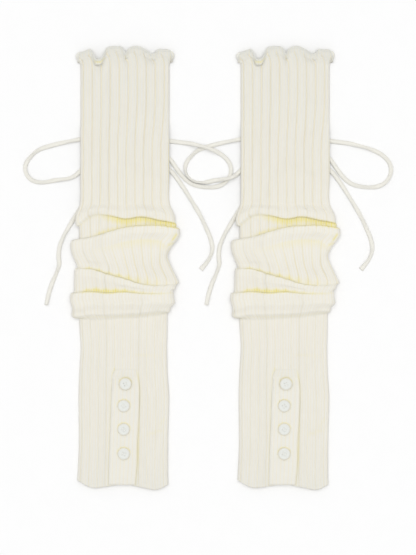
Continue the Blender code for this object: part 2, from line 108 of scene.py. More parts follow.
# Plain rows of the upper and lower tube.
UPPER_ROWS = (
    # y, left, right
    (241.0, -53.4, 53.2),
    (205.0, -53.4, 53.2),
    *((float(y), -53.3, 53.2) for y in range(173, 117, -11)),
    (107.0, -53.4, 53.0),
    (96.0, -53.4, 52.9),
    (86.0, -53.3, 52.8),
    (77.0, -53.8, 53.6),
)
LOWER_ROWS = (
    # y, left, right
    (-76.0, -54.4, 50.8),
    (-94.0, -53.2, 50.3),
    (-127.0, -54.8, 51.0),
    (-157.0, -55.7, 52.8),
    (-207.0, -55.2, 51.6),
    (-246.0, -56.8, 51.4),
)
HEM_LEFT = (-255.0, -57.4)
HEM_Y = (-263.8, -262.2, -260.0, -263.6, -266.0)
HEM_RIGHT = (-260.0, 52.0)

# The pushed-down folds, top to bottom. way is -1 where the cloth above lies over, 1 where the cloth
# below does, and 0 on a line with no overlap. Each side's outline is given in the hollow and on the
# fold, the heights there at left, middle and right, and last how far the ribs lean to the right.
FOLDS = (
    # name, way, y at left, the stations and right,
    # left in hollow and on fold, right in hollow and on fold, low, high, lean in hollow and on fold
    ("upper edge of slack", -1, (49.6, 61.6, 61.8, 57.6, 60.1, 56.2, 52.5),
     (-54.9, -59.4), (61.6, 60.2), (7.8, 7.6, 7.6), (9.0, 10.2, 10.8), (0.0, 1.0)),
    ("second roll", 1, (33.4, 37.0, 43.0, 48.2, 50.2, 50.6, 47.4),
     (-54.8, -65.4), (61.5, 66.0), (7.4, 7.9, 8.2), (12.6, 13.9, 13.0), (0.0, -4.5)),
    ("second roll's foot", 0, (19.0, 21.0, 24.5, 30.0, 32.6, 31.0, 22.0),
     (-64.4, -64.4), (54.4, 54.4), (12.5, 12.0, 11.0), (12.5, 12.0, 11.0), (-4.0, -4.0)),
    ("slanted panel", 0, (8.5, 9.5, 9.0, 8.0, 6.0, 6.0, 13.5),
     (-60.4, -60.4), (51.4, 51.4), (11.6, 12.5, 12.0), (11.6, 12.5, 12.0), (1.0, 1.0)),
    ("third roll", 1, (-1.2, -1.6, -7.8, -13.2, -19.4, -21.6, -20.0),
     (-57.4, -60.6), (64.8, 61.0), (11.2, 10.8, 10.4), (12.9, 12.8, 11.9), (5.0, 0.0)),
    ("fourth roll", 1, (-30.5, -28.6, -30.2, -28.9, -30.9, -31.4, -30.4),
     (-61.2, -66.0), (57.6, 58.6), (9.6, 11.5, 12.2), (13.6, 13.7, 13.3), (1.5, -1.0)),
    ("fourth roll's middle", 0, (-50.0, -43.5, -43.5, -43.0, -42.5, -42.0, -42.0),
     (-63.2, -63.2), (60.0, 60.0), (13.8, 14.0, 13.6), (13.8, 14.0, 13.6), (0.5, 0.5)),
    ("lower edge of slack", -1, (-61.0, -59.2, -59.0, -58.1, -57.1, -54.6, -54.0),
     (-54.8, -64.2), (50.9, 54.6), (5.6, 5.4, 5.4), (10.6, 11.0, 11.0), (0.0, 0.5)),
)

# How an overlap is rounded: distances from its line towards the cloth that lies over, in the
# middle where its edge hangs over and where it only rounds down, and at the side edges, and the
# height from 0 in the hollow to 1 on the fold.
OVERLAP = (
    # hanging, rounded, side, height
    (-2.2, -5.0, -1.6, 0.0),
    (3.0, -1.4, -0.8, 0.0),
    (0.0, 0.4, 0.0, 0.52),
    (1.6, 2.4, 1.6, 0.88),
)
CREST_REACH = 7.0
CREST_SHARE = 0.42
HOLLOW_SHARE = 0.25

# How fast the outline's bulges fade towards the middle.
BULGE_POWER = 4
# The edges that the ribs keep to, away from the outline's own bulges.
RIB_EDGES = (
    # y, left, right
    (-90.0, -54.4, 50.8),
    (-50.0, -57.0, 54.0),
    (40.0, -58.0, 57.5),
    (75.0, -53.6, 53.4),
)

# The placket band on the lower tube's front, with its four buttons.
PLACKET = (
    # y, left, right
    (-121.5, -11.6, 13.4),
    (-130.0, -15.0, 15.2),
    (-140.0, -15.8, 16.9),
    (-157.0, -16.5, 17.4),
    (-185.0, -17.4, 16.3),
    (-210.0, -18.5, 15.0),
    (-235.0, -19.3, 14.5),
    (-260.4, -19.7, 12.4),
)
PLACKET_THICKNESS = 2.2
BUTTONS = ((0.6, -139.6), (-1.4, -165.8), (-1.4, -193.8), (-1.4, -223.0))

# The tie's size if it were round, and the knot of its bow on the back.
TIE_DIAMETER = 3.8
TIE_STEP = 9.2
KNOT_CENTRE = (1.0, 152.0)
KNOT_SIZE = (15.0, 12.0, 4.4)
KNOT_WAIST = 0.72
KNOT_FILL = (0.95, 0.95, 0.94)
KNOT_ROUNDING = 5
KNOT_END = 0.02
KNOT_RINGS = 25
KNOT_SIDES = 32
# The wales over the knot: how high, how many round it, and how far they slant along it.
KNOT_RIDGE = 0.05
KNOT_WALES = 9
KNOT_SLANT = 3.0
# How much of a stitch lies between two of its points.
KNOT_STITCH = 0.5
# How far round a hidden run the underside stays lifted, and where it is down again.
LIFT_FLAT = 8.5
LIFT_REACH = 22.0
KNOT_LIFT_FLAT = 13.0
KNOT_LIFT_REACH = 30.0
LIFT_CLEARANCE = 0.5
FRONT_LIFT_SHARE = 0.58
# The runs under the tube are those nearer its middle line than this.
HIDDEN_WITHIN = 62.0
TIE_ROUTES = {
    "tie_loop_left": (
        (-6.6, 155.0), (-20.0, 156.5), (-36.0, 156.0), (-53.0, 153.8), (-64.4, 151.7),
        (-73.7, 149.8), (-82.8, 147.6), (-92.8, 144.8), (-100.1, 142.4), (-106.8, 138.7),
        (-112.4, 133.4), (-117.4, 127.3), (-119.8, 121.2), (-119.3, 114.6), (-116.6, 109.0),
        (-112.0, 104.8), (-105.8, 102.4), (-98.9, 101.9), (-91.4, 102.8), (-84.7, 104.3),
        (-76.7, 105.4), (-69.0, 106.4), (-61.5, 109.2), (-54.5, 115.0), (-48.0, 123.5),
        (-40.5, 132.5), (-30.0, 140.5), (-18.0, 146.5), (-6.6, 149.4),
    ),
    "tie_loop_right": (
        (8.6, 155.0), (22.0, 155.5), (38.0, 153.8), (53.5, 151.7), (61.2, 150.6), (69.5, 149.6),
        (79.2, 148.2), (86.0, 146.5), (94.3, 144.5), (102.7, 141.7), (111.0, 138.0),
        (118.6, 132.8), (124.2, 126.4), (126.8, 119.4), (126.2, 111.8), (122.4, 104.4),
        (115.6, 98.9), (107.5, 96.4), (99.6, 96.0), (91.6, 96.8), (83.2, 98.7), (75.4, 102.9),
        (68.5, 109.7), (61.9, 118.4), (56.8, 126.0), (50.5, 132.8), (41.0, 138.5), (26.0, 144.5),
        (8.6, 149.2),
    ),
    "tie_tail_left": (
        (-3.0, 145.4), (-9.0, 135.5), (-20.0, 121.5), (-32.0, 104.0), (-44.0, 85.8),
        (-54.8, 69.2), (-64.2, 54.0), (-73.2, 38.8), (-78.6, 24.8), (-79.8, 13.5), (-79.0, 4.0),
        (-82.0, -6.0), (-87.8, -19.6), (-92.0, -32.8), (-94.7, -45.1),
    ),
    "tie_tail_right": (
        (6.0, 145.4), (12.5, 138.5), (26.0, 131.5), (41.5, 124.6), (55.2, 115.1), (65.2, 102.6),
        (76.3, 85.6), (88.0, 66.0), (97.0, 47.6), (102.8, 33.0), (104.6, 21.8), (101.4, 11.2),
        (95.8, 3.2), (90.8, -2.5),
    ),
}
# Where a tie passes over another: the middle of its low hump, how far it stays up and its reach.
HUMPS = {
    ("left", "tie_loop_right"): ((93.6, 144.7), 9.0, 26.0),
    ("right", "tie_loop_left"): ((-69.2, 106.3), 4.5, 14.5),
}
# Where two tapes squeeze past each other: the middle of the place, the turn in degrees that lets
# each by, how far it keeps it and its reach.
SQUEEZES = {
    ("left", "tie_loop_right"): ((79.0, 100.6), 30.0, 11.0, 26.0),
    ("right", "tie_loop_left"): ((-111.9, 104.7), 74.0, 11.0, 26.0),
}
# Finer parts of the cloth that the solids leave out.
RIBS_ROUND = 22
WALES_IN_RIB = 7
COURSE = 1.25
FINE_COLUMNS = (0.0, 0.035, 0.075, 0.12, 0.2, 0.32, 0.5, 0.68, 0.8, 0.88, 0.925, 0.965)
COARSE_COLUMNS = (0.0, 0.06, 0.14, 0.35, 0.65, 0.86, 0.94)
RIB_WIDTH = 10.2
RIB_GROOVE_SPREAD = 0.75
RIB_CROWN = 0.3
# How deep the grooves are and how strongly they are painted with warm shade, on each fold and above
# and below the folds.
UPPER_GROOVES = (1.0, 0.75)
LOWER_GROOVES = (0.3, 0.35)
EDGE_GROOVES = (0.1, 0.1)
HEM_GROOVES = (0.25, 0.2)
FOLD_GROOVES = {
    # name: depth, painted shade in hollow and depth, painted shade on the fold
    "upper edge of slack": ((0.3, 0.5), (0.4, 0.45)),
    "second roll": ((0.5, 0.5), (0.12, 0.1)),
    "second roll's foot": ((0.25, 0.4), (0.25, 0.4)),
    "slanted panel": ((0.6, 1.3), (0.6, 1.3)),
    "third roll": ((0.5, 1.3), (0.1, 0.05)),
    "fourth roll": ((0.2, 0.3), (0.1, 0.1)),
    "fourth roll's middle": ((0.15, 0.15), (0.15, 0.15)),
    "lower edge of slack": ((0.25, 0.3), (0.2, 0.2)),
}
# How much greyer the knit is made at each height: most up the fluted top, less down the tube, and
# more again towards the hem.
GREYING_BY_HEIGHT = (
    # y, share
    (-266.0, 0.6), (-245.0, 0.45), (-200.0, 0.28), (-120.0, 0.2), (-80.0, 0.05), (20.0, 0.0),
    (70.0, 0.1), (120.0, 0.28), (190.0, 0.52), (240.0, 0.6), (256.0, 0.95), (266.0, 1.0),
)
BAND_GREYING = 0.45
# The grooves' painted warm shade grows towards the right of the slanted panel, which lies between
# these lines: the y at which it starts and ends, and how far it takes to.
PANEL_FOOT = (-25.0, 12.0)
PANEL_HEAD = (38.0, 8.0)
PANEL_GROOVE_SHADE = ((-60.0, 0.25), (-20.0, 0.45), (5.0, 1.0), (45.0, 1.0), (60.0, 0.4))
# Painted shade in the folds, warm yellow: places across, how strong it is there, and how far it
# reaches.
FOLD_CREASE_SHADES = (
    # fold, side of its line, places, strengths, reaches
    ("upper edge of slack", -1, (-54, -30, -20, -8, 6, 24, 36, 48, 57),
     (0.12, 0.16, 0.55, 0.88, 0.98, 1.0, 1.0, 1.0, 1.0), (5, 8, 12, 14, 15, 13, 12, 10, 8)),
    ("second roll", 1, (-54, -38, -30, -22, -10, 6, 24, 40, 56),
     (0.05, 0.15, 0.6, 0.5, 0.45, 0.5, 0.6, 0.9, 1.0), (2, 3, 5, 6, 6, 6, 5, 5, 5)),
    ("second roll's foot", -1, (-45, -20, 0, 20, 45, 56),
     (0.0, 0.08, 0.19, 0.23, 0.19, 0.07), (8, 11, 13, 14, 13, 8)),
    ("third roll", 1, (-52, -45, -38, -28, -20, -10, 0, 10, 20, 30, 40, 50),
     (0.1, 0.5, 0.7, 0.8, 0.75, 0.9, 0.7, 0.5, 0.36, 0.25, 0.18, 0.05),
     (2, 3, 3.5, 4, 4.5, 5, 7, 10, 13, 14, 12, 6)),
    ("fourth roll", 1, (-55, -48, -38, -25, -15, -8, 0, 6, 15, 24, 35, 48, 54),
     (0.1, 0.7, 1.15, 1.25, 1.2, 1.05, 0.95, 0.6, 0.5, 0.4, 0.35, 0.2, 0.1),
     (2, 4.5, 6.5, 7, 7, 6, 5, 4, 3.5, 3, 3, 2, 2)),
    ("lower edge of slack", -1, (-55, 0, 52), (0.1, 0.12, 0.1), (3, 4, 3)),
)
# How much the painted shade gathers at the ribs, and how many times over a rib it does so.
FOLD_SHADE_DOTS = {
    "upper edge of slack": (0.85, 1.15, 2),
    "second roll": (0.7, 1.2, 2),
    "second roll's foot": (1.0, 1.0, 1),
    "third roll": (0.45, 1.3, 1),
    "fourth roll": (0.9, 1.35, 1),
    "lower edge of slack": (1.0, 1.0, 1),
}
# How wide such a gathering is, and how far the painted shade reaches between two of them.
DOT_WIDTH = 2.6
DOT_REACH = 0.75
# The wales gather the painted shade in finer dots: how many across one rib, how strongly, and their
# mean.
DOTS_IN_RIB = 4
DOT_CONTRAST = 0.3
DOT_MEAN = 0.9
# How far the painted shade reaches beyond a fold's line, and beyond the placket's edges.
FOLD_SHADE_BEYOND = 2.0
PLACKET_SHADE_BEYOND = 1.5
# It starts where the cloth faces this much down, and is full where it faces the side.
FRONT_TURN = 0.6
# How far each fold's edge hangs over its hollow, across the cloth: 0 only rounds down, 1 is deep.
UNDERCUTS = {
    "upper edge of slack": (0.0, 0.0, 0.3, 0.8, 1.0, 1.0, 0.8),
    "second roll": (0.2, 0.3, 0.6, 0.9, 1.0, 1.0, 0.8),
    "third roll": (0.5, 0.8, 1.0, 1.0, 0.7, 0.3, 0.2),
    "fourth roll": (0.4, 1.0, 1.0, 0.8, 0.4, 0.2, 0.2),
    "lower edge of slack": (-0.6, -0.6, -0.6, -0.6, -0.6, -0.6, -0.6),
}
# Painted shade beside the placket's sewn left edge and its free right edge, and around its buttons.
PLACKET_SHADES = (
    # y, left, right
    (-262.0, 0.15, 0.2),
    (-248.0, 0.15, 0.3),
    (-236.0, 0.15, 0.5),
    (-219.0, 0.2, 0.7),
    (-200.0, 0.2, 0.4),
    (-177.0, 0.2, 0.15),
    (-150.0, 0.25, 0.3),
    (-128.0, 0.2, 0.35),
    (-120.0, 0.0, 0.0),
)
PLACKET_SHADE_REACH = 2.3
BUTTON_SHADE = 0.48
BUTTON_SHADE_REACH = 1.9
BUTTON_REACH = 7.5
# That painted shade is stronger on a button's upper side.
BUTTON_SHADE_SHARES = (0.2, 1.2)
BUTTON_SHADE_TURN = 0.3
# Short creases of their own: their middle, direction in degrees, half length, half width, painted
# shade and depth.
SHORT_CREASES = (
    # x, y, direction, half length, half width, painted shade, depth
    (59.4, 36.0, 56.0, 6.5, 1.5, 0.8, 1.0),
    (54.4, 27.4, 25.0, 4.5, 1.3, 0.55, 0.5),
    (30.0, 31.6, -4.0, 18.0, 1.7, 0.28, 0.4),
    (8.0, 27.0, 28.0, 10.0, 1.7, 0.18, 0.3),
    (-32.0, 245.6, -4.0, 6.5, 1.3, 0.6, 0.25),
    (-26.4, 248.0, 50.0, 3.5, 1.0, 0.4, 0.2),
    (0.9, 252.0, 88.0, 5.0, 0.9, 0.3, 0.4),
    (27.0, -105.6, -4.0, 20.0, 1.3, 0.1, 0.35),
    (36.0, -197.5, 18.0, 13.0, 1.5, 0.15, 0.4),
    (44.0, -186.0, 60.0, 9.0, 1.4, 0.12, 0.35),
    (-13.6, -124.5, 72.0, 5.0, 1.0, 0.35, 0.4),
)

# Rows up the flutes, finer than the solid's: the edge is a rolled band under the overlock stitches.
FLUTE_ROWS = (
    # share, short_of_lip, band
    (1.00, 0.0, -0.2),
    (1.00, 0.6, 0.35),
    (1.00, 1.8, 0.7),
    (1.00, 3.2, 0.75),
    (1.00, 4.6, 0.5),
    (1.00, 5.8, 0.15),
    (1.00, 7.2, 0.0),
    (0.70, 0.0, 0.0),
    (0.45, 0.0, 0.0),
    (0.20, 0.0, 0.0),
)
EDGE_DEPTH = 7.2
# The rows whose grooves the rolled band hides, and those that the inside has too.
EDGE_GROOVE_ROWS = 6
INSIDE_FLUTES = (7, 4, 1)
# How far apart the fine rows are, in each stretch of the cloth.
FLUTE_SPACING = 0.55
PLAIN_SPACING = 2.8
FOLD_SPACING = 1.15
HEM_SPACING = 1.2
# The cloth's stitches run evenly over this many columns to each side, and the inside's rows are
# this far apart in its stitches.
EVEN_COLUMNS = 6
INSIDE_STEP = 8.0

# The visible tape: how wide and thick, its wales round, and its twists as waves along it.
TAPE_WIDTH = 5.1
TAPE_THICKNESS = 2.5
TAPE_STEP = 1.5
TAPE_SIDES = 32
TAPE_WALES = 8
TAPE_COURSE = 1.2
TAPE_RIDGE = 0.035
TAPE_CORNERS = (0.75, 0.9)
TAPE_FLARE = 0.12
TAPE_FLARE_REACH = 6.0
TAPE_REST = 0.05
# How much of its width a tape loses where its knot gathers it, and how far from its end.
TAPE_GATHER = 0.25
TAPE_GATHER_REACH = 8.0
# The twists start this far inside the tube's edge and take so far to reach their full size.
TWIST_LEAD = 8.0
TWIST_REACH = 12.0
TAPE_TWISTS = {
    # wavelength, size in degrees, start
    "tie_loop_left": ((90.0, 38.0, 0.6), (37.0, 14.0, 2.0)),
    "tie_loop_right": ((100.0, 36.0, 2.6), (41.0, 14.0, 0.5)),
    "tie_tail_left": ((85.0, 40.0, 1.2), (33.0, 12.0, 0.0)),
    "tie_tail_right": ((78.0, 38.0, 0.2), (35.0, 12.0, 1.5)),
}

# Light and floor.
SKY_COLOUR = (1.0, 1.0, 1.0)
SKY_STRENGTH = 0.64
WINDOW_STRENGTH = 1.46
WINDOW_SPREAD = 55.0
WINDOW_TURN = (-6.5, -1.0, 0.0)
FLOOR_HALF = 12000.0
FLOOR_SQUARES = 8
FLOOR_COLOUR = (0.905, 0.905, 0.905)
FLOOR_SHADE = (0.89, 0.89, 0.89)
# Colours of the cloth: plain; darker, for its mottle and streaks and as painted shade between its
# stitches; greyer; its warm lines, also painted as shade in grooves; and painted shade in creases.
KNIT_COLOUR = (0.915, 0.90, 0.836)
KNIT_DARK_TONE_AND_SHADE = (0.84, 0.80, 0.69)
GREYED_KNIT_COLOUR = (0.77, 0.785, 0.76)
WARM_LINE_AND_GROOVE_SHADE = (0.88, 0.80, 0.56)
PAINTED_CREASE_SHADE = (0.885, 0.79, 0.29)
# How strongly the cloth takes its darker colour: in its mottle, as painted shade between its
# stitches, and in its streaks.
MOTTLE_SHARE = 0.3
STITCH_SHADE_SHARE = 0.22
STREAK_SHARE = 0.6
# The streaks down the wales: how fine across and along, where they start and how fast they grow.
STREAK_FINENESS = (1.3, 0.02)
STREAK_FROM = 0.36
STREAK_GAIN = 2.2
# Faint lines down each rib: how many, how narrow and how strong. The grooves' painted shade is last.
LINES_IN_RIB = 3
LINE_NARROWNESS = 7.0
LINE_SHARE = 0.38
GROOVE_SHADE_SHARE = 0.5
# Each stitch's legs slant by this much of a course, and round off by this power.
STITCH_SLANT = 0.55
STITCH_ROUNDING = 0.6
# How high the stitches and the thread's grain look.
KNIT_BUMP = 0.25
TAPE_BUMP = 0.3
THREAD_BUMP = 0.1
TAPE_COLOUR = (0.945, 0.935, 0.89)
# The tape's darker colour: for its mottle, and as painted shade between its stitches.
TAPE_TONE_AND_SHADE = (0.88, 0.86, 0.78)
THREAD_COLOUR = (0.88, 0.875, 0.83)
THREAD_SHADE = (0.80, 0.78, 0.71)
EDGE_THREAD_COLOUR = (0.78, 0.785, 0.74)
EDGE_THREAD_SHADE = (0.71, 0.71, 0.655)
# The pearl's rim is painted lighter and warmer outside the rim's radius, over so far: painted light
# against its sloped edge's shading, and warm like the painted shade around it.
PEARL_COLOUR = (0.68, 0.695, 0.655)
PEARL_SHADE = (0.65, 0.665, 0.63)
PEARL_RIM_LIGHT_AND_SHADE = (0.81, 0.775, 0.675)
PEARL_RIM_RADIUS = 5.6
PEARL_RIM_FADE = 1.25

# How the light's shelter is felt for: rays from each point, the turn from one to the next, how far
# off they start, and how far off cloth still counts. Points that face down are passed over.
SHELTER_RAYS = 12
GOLDEN_TURN = 2.399963
SHELTER_START = 0.2
SHELTER_REACH = 14.0
FACING_DOWN = -0.2
# The shelter from which a place is painted with warm crease shade, where it is fully so, and how
# strongly.
CREASE_FROM = 0.34
CREASE_FULL = 0.70
CREASE_MOST = 0.7
# The painted shade from shelter ends within so far of the fluted top and of the lower tube.
CREASE_FADES = (3.0, 8.0)
# Painted crease shade over the whole inside of the tube.
INSIDE_CREASE_SHADE = 0.2

# Overlock stitches on the fluted edge: the fine rows that each passes on its way over.
EDGE_ROWS = (6, 5, 3, 2, 0)
EDGE_STITCH = 1.7
EDGE_SLANT = 0.8
EDGE_STAND = 0.12
EDGE_THREAD = 0.42
# How each stitch ends: a little further over, then this far inside the cloth.
EDGE_OVER = 0.1
EDGE_INSIDE = (0.7, 1.4)
SEAM_STITCH = 2.6
SEAM_INSET = 1.6
SEAM_THREAD = 0.28
# How far the seam stands off the band's ends, how much of a stitch shows, and how it rises.
SEAM_ENDS = (12.0, 4.0)
SEAM_SHOWN = 0.72
SEAM_SUNK = 0.25
SEAM_RISE = 0.28
THREAD_SIDES = 6
THREAD_TAPER = 0.55

EDGE_CURLS = {
    # x, y, z, radius
    "left": ((-52.0, 257.6, 5.4, 0.6), (-54.6, 255.8, 5.2, 2.3), (-56.4, 253.4, 4.6, 2.7),
             (-55.8, 250.8, 3.8, 2.3), (-53.6, 249.2, 3.2, 0.6)),
    "right": ((52.8, 258.8, 5.6, 0.6), (55.2, 257.2, 5.2, 2.1), (56.6, 254.8, 4.6, 2.3),
              (56.6, 251.6, 3.8, 2.1), (55.2, 248.8, 3.0, 0.6)),
}
CURL_SIDES = 20
CURL_RINGS = 24
CURL_WALES = 7
CURL_COURSES = 1.2

# The placket's section from its sewn left edge over the top to its free right edge, and back.
PLACKET_ROWS = 150
PLACKET_FADE = 34.0
PLACKET_FOOT_FADE = 1.6
# Shares of the band's thickness that it has at its top end and at its foot.
PLACKET_ENDS = (-0.45, 0.55)
PLACKET_SUNK = 0.25
PLACKET_WALE = 1.5
# Soft waves in the band: height, turn for each millimetre down it, and turn across it.
PLACKET_WAVES = ((0.12, 0.33, 4.0), (0.1, 0.117, 0.0))
PLACKET_SECTION = (
    # share across, rise
    (0.0, 0.30), (0.006, 0.62), (0.022, 0.86), (0.05, 0.95), (0.09, 0.90), (0.14, 0.98),
    *((percent / 100, 1.0) for percent in range(18, 83, 4)),
    (0.87, 1.01), (0.905, 1.0), (0.938, 0.96), (0.965, 0.87), (0.986, 0.72), (0.998, 0.5),
    (1.0, 0.26), (0.988, 0.05), (0.95, 0.0), (0.7, 0.0), (0.5, 0.0), (0.3, 0.0), (0.05, 0.0),
    (0.01, 0.1),
)
BUTTON_RISE = (
    # radius, height
    (0.0, 2.1), (2.4, 2.11), (4.0, 2.15), (4.8, 2.22), (5.4, 2.28), (5.9, 2.22), (6.3, 2.02),
    (6.7, 1.65), (7.0, 1.25), (7.25, 0.85), (7.35, 0.5), (7.25, 0.22), (6.9, 0.06), (6.0, 0.02),
    (0.0, 0.0),
)
BUTTON_SPREAD = 1.02
BUTTON_TURN = 17.0
BUTTON_STEPS = 48
# Each hole's place from the middle both ways, and its size.
HOLE_OFF = 1.45
HOLE_RADIUS = 0.5
HOLE_DEPTH = 8.0
HOLE_SIDES = 16
BUTTON_THREAD_RADIUS = 0.42
BUTTON_THREAD = (
    # share of the way from hole to hole, height
    (1.0, 0.9), (0.98, 1.7), (0.85, 2.15), (0.4, 2.3), (0.0, 2.32), (-0.4, 2.3), (-0.85, 2.15),
    (-0.98, 1.7), (-1.0, 0.9),
)
# Points on a route before it is cut into even steps.
ROUTE_SAMPLES = 1200


def eased(share):
    """0 to 1 with level ends."""
    share = np.clip(share, 0.0, 1.0)
    return share * share * (3 - 2 * share)


def between(low, high, share):
    return low + (high - low) * share


def near(away, flat, reach):
    """1 up to the flat distance, easing down to 0 at the reach."""
    return eased((reach - away) / (reach - flat))


def table_columns(table):
    """A table's columns, each as an array."""
    return [np.array(column) for column in zip(*table)]


def running(steps):
    """How far along each point lies, from the steps between them."""
    return np.concatenate([[0], np.cumsum(steps)])


def run_along(points):
    return running(np.linalg.norm(np.diff(points, axis=0), axis=1))


def round_turns(sides):
    """Evenly spaced angles once round."""
    return np.arange(sides) / sides * 2 * math.pi


def hermite(t, span, start, end, start_slope, end_slope):
    """A smooth curve's value at share t of a span, from the values and slopes at its ends."""
    return (
        (2 * t**3 - 3 * t**2 + 1) * start
        + (t**3 - 2 * t**2 + t) * span * start_slope
        + (3 * t**2 - 2 * t**3) * end
        + (t**3 - t**2) * span * end_slope
    )


def curve_at(places, values, place):
    """A smooth curve through the values at rising places, held level past its ends."""
    places, values = np.array(places, float), np.array(values, float)
    place = np.clip(place, places[0], places[-1])
    slopes = np.gradient(values, places)
    after = np.clip(np.searchsorted(places, place), 1, len(places) - 1)
    before = after - 1
    span = places[after] - places[before]
    t = (place - places[before]) / span
    return hermite(t, span, values[before], values[after], slopes[before], slopes[after])


def smooth_route(points, step):
    """Points about a step apart on a smooth curve through the route's own points."""
    points = np.array(points, float)
    lengths = run_along(points)
    fine = np.linspace(0, lengths[-1], ROUTE_SAMPLES)
    curve = np.stack([curve_at(lengths, points[:, k], fine) for k in (0, 1)], axis=1)
    run = run_along(curve)
    even = np.linspace(0, run[-1], round(run[-1] / step) + 1)
    return np.stack([np.interp(even, run, curve[:, k]) for k in (0, 1)], axis=1)


def linked(name, data):
    """A new object of the scene with the data."""
    made = bpy.data.objects.new(name, data)
    bpy.context.scene.collection.objects.link(made)
    return made


def mesh_object(name, points, faces):
    """A smooth mesh object from points in millimetres."""
    data = bpy.data.meshes.new(name)
    data.from_pydata((np.array(points).reshape(-1, 3) * MM).tolist(), [], faces)
    data.shade_smooth()
    return linked(name, data)


def grid_faces(rows, columns, ends):
    """Faces over rows of points that close round.

    ends is open, capped with a face each, or joined where the last row meets the first.
    """
    k = np.arange(columns)
    after = (k + 1) % columns
    i = np.arange(rows if ends == "joined" else rows - 1)[:, None]
    here, below = i * columns, (i + 1) % rows * columns
    quads = np.stack(np.broadcast_arrays(here + k, below + k, below + after, here + after), -1)
    faces = quads.reshape(-1, 4).tolist()
    if ends == "capped":
        faces.append(k.tolist())
        faces.append((k + (rows - 1) * columns)[::-1].tolist())
    return faces


def as_one(grids):
    """The points and faces of several grids, given with their ends, as one."""
    points, faces = [], []
    for grid, ends in grids:
        first = len(points)
        points += grid.reshape(-1, 3).tolist()
        faces += [[first + k for k in face] for face in grid_faces(*grid.shape[:2], ends)]
    return points, faces


def grid_mesh(name, points, ends, marks=None, uv=None):
    """A mesh object over a grid of points in millimetres: rows first, then columns.

    marks are named numbers for each point. uv holds a coordinate for each row, or each point, and
    one more than there are columns.
    """
    rows, columns = points.shape[:2]
    made = mesh_object(name, points, grid_faces(rows, columns, ends))
    for mark, values in (marks or {}).items():
        layer = made.data.attributes.new(mark, "FLOAT", "POINT")
        layer.data.foreach_set("value", np.ascontiguousarray(values, np.float32).ravel())
    if uv is not None:
        along, sideways = uv
        along = np.broadcast_to(np.reshape(along, (rows, -1)), (rows, columns))
        k = np.arange(columns)
        after = (k + 1) % columns
        i = np.arange(rows if ends == "joined" else rows - 1)[:, None]
        u0, u1, low = sideways[k], sideways[k + 1], (i + 1) % rows
        corners = np.stack(np.broadcast_arrays(
            u0, along[i, k], u0, along[low, k], u1, along[low, after], u1, along[i, after]), -1)
        flat = np.zeros((len(made.data.loops), 2), np.float32)
        flat[: corners.size // 2] = corners.reshape(-1, 2)
        layer = made.data.uv_layers.new(name="cloth")
        layer.data.foreach_set("uv", flat.ravel())
    return made


def piece(made, nodes, finish):
    """Makes the object a finished piece of the part, standing for the nodes that it names."""
    made.data.materials.clear()
    made.data.materials.append(finish)
    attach(made, "root")
    if nodes:
        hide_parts(*nodes)


class Finish:
    """A material's node tree, with short ways to add its nodes."""

    def __init__(self, name, colour, roughness, sheen=0.0):
        self.made = bpy.data.materials.new(name)
        self.made.use_nodes = True
        self.nodes = self.made.node_tree.nodes
        self.links = self.made.node_tree.links
        self.shader = self.nodes["Principled BSDF"]
        self.shader.inputs["Base Color"].default_value = (*colour, 1.0)
        self.shader.inputs["Roughness"].default_value = roughness
        self.shader.inputs["Sheen Weight"].default_value = sheen
        self.shader.inputs["Sheen Roughness"].default_value = 0.5

    def put(self, value, socket):
        if isinstance(value, bpy.types.NodeSocket):
            self.links.new(value, socket)
        else:
            socket.default_value = value

    def math(self, operation, *values, clamp=False):
        node = self.nodes.new("ShaderNodeMath")
        node.operation = operation
        node.use_clamp = clamp
        for value, socket in zip(values, node.inputs):
            self.put(value, socket)
        return node.outputs[0]

    def times(self, a, b, clamp=False):
        return self.math("MULTIPLY", a, b, clamp=clamp)

    def less(self, a, b):
        return self.math("SUBTRACT", a, b)

    def split(self, vector):
        node = self.nodes.new("ShaderNodeSeparateXYZ")
        self.links.new(vector, node.inputs[0])
        return node.outputs

    def join(self, x, y):
        node = self.nodes.new("ShaderNodeCombineXYZ")
        for value, socket in zip((x, y), node.inputs):
            self.put(value, socket)
        return node.outputs[0]

    def mark(self, name):
        node = self.nodes.new("ShaderNodeAttribute")
        node.attribute_name = name
        return node.outputs["Fac"]

    def cloth_uv(self):
        node = self.nodes.new("ShaderNodeUVMap")
        node.uv_map = "cloth"
        return node.outputs[0]

    def place(self):
        return self.nodes.new("ShaderNodeTexCoord").outputs["Object"]

    def noise(self, vector, scale, detail=2.0):
        node = self.nodes.new("ShaderNodeTexNoise")
        self.links.new(vector, node.inputs["Vector"])
        node.inputs["Scale"].default_value = scale
        node.inputs["Detail"].default_value = detail
        return node.outputs["Fac"]

    def blend(self, share, low, high):
        node = self.nodes.new("ShaderNodeMix")
        node.data_type = "RGBA"
        self.put(share, node.inputs[0])
        for value, socket in ((low, node.inputs[6]), (high, node.inputs[7])):
            self.put((*value, 1.0) if isinstance(value, tuple) else value, socket)
        return node.outputs[2]

    def colour(self, value):
        self.links.new(value, self.shader.inputs["Base Color"])

    def bump(self, height, distance):
        node = self.nodes.new("ShaderNodeBump")
        node.inputs["Distance"].default_value = distance * MM
        node.inputs["Strength"].default_value = 1.0
        self.links.new(height, node.inputs["Height"])
        self.links.new(node.outputs[0], self.shader.inputs["Normal"])

    def knit_height(self, u, v):
        """Knit stitches as a height: each wale is a row of legs that slant to a V."""
        wale = self.less(self.math("FRACT", u), 0.5)
        away = self.times(self.math("ABSOLUTE", wale), 2.0)
        slanted = self.math("ADD", v, self.times(away, STITCH_SLANT))
        turn = self.times(slanted, 2 * math.pi)
        legs = self.math("MULTIPLY_ADD", self.math("COSINE", turn), 0.5, 0.5)
        inside = self.math("SINE", self.times(away, math.pi))
        return self.times(legs, self.math("POWER", inside, STITCH_ROUNDING))


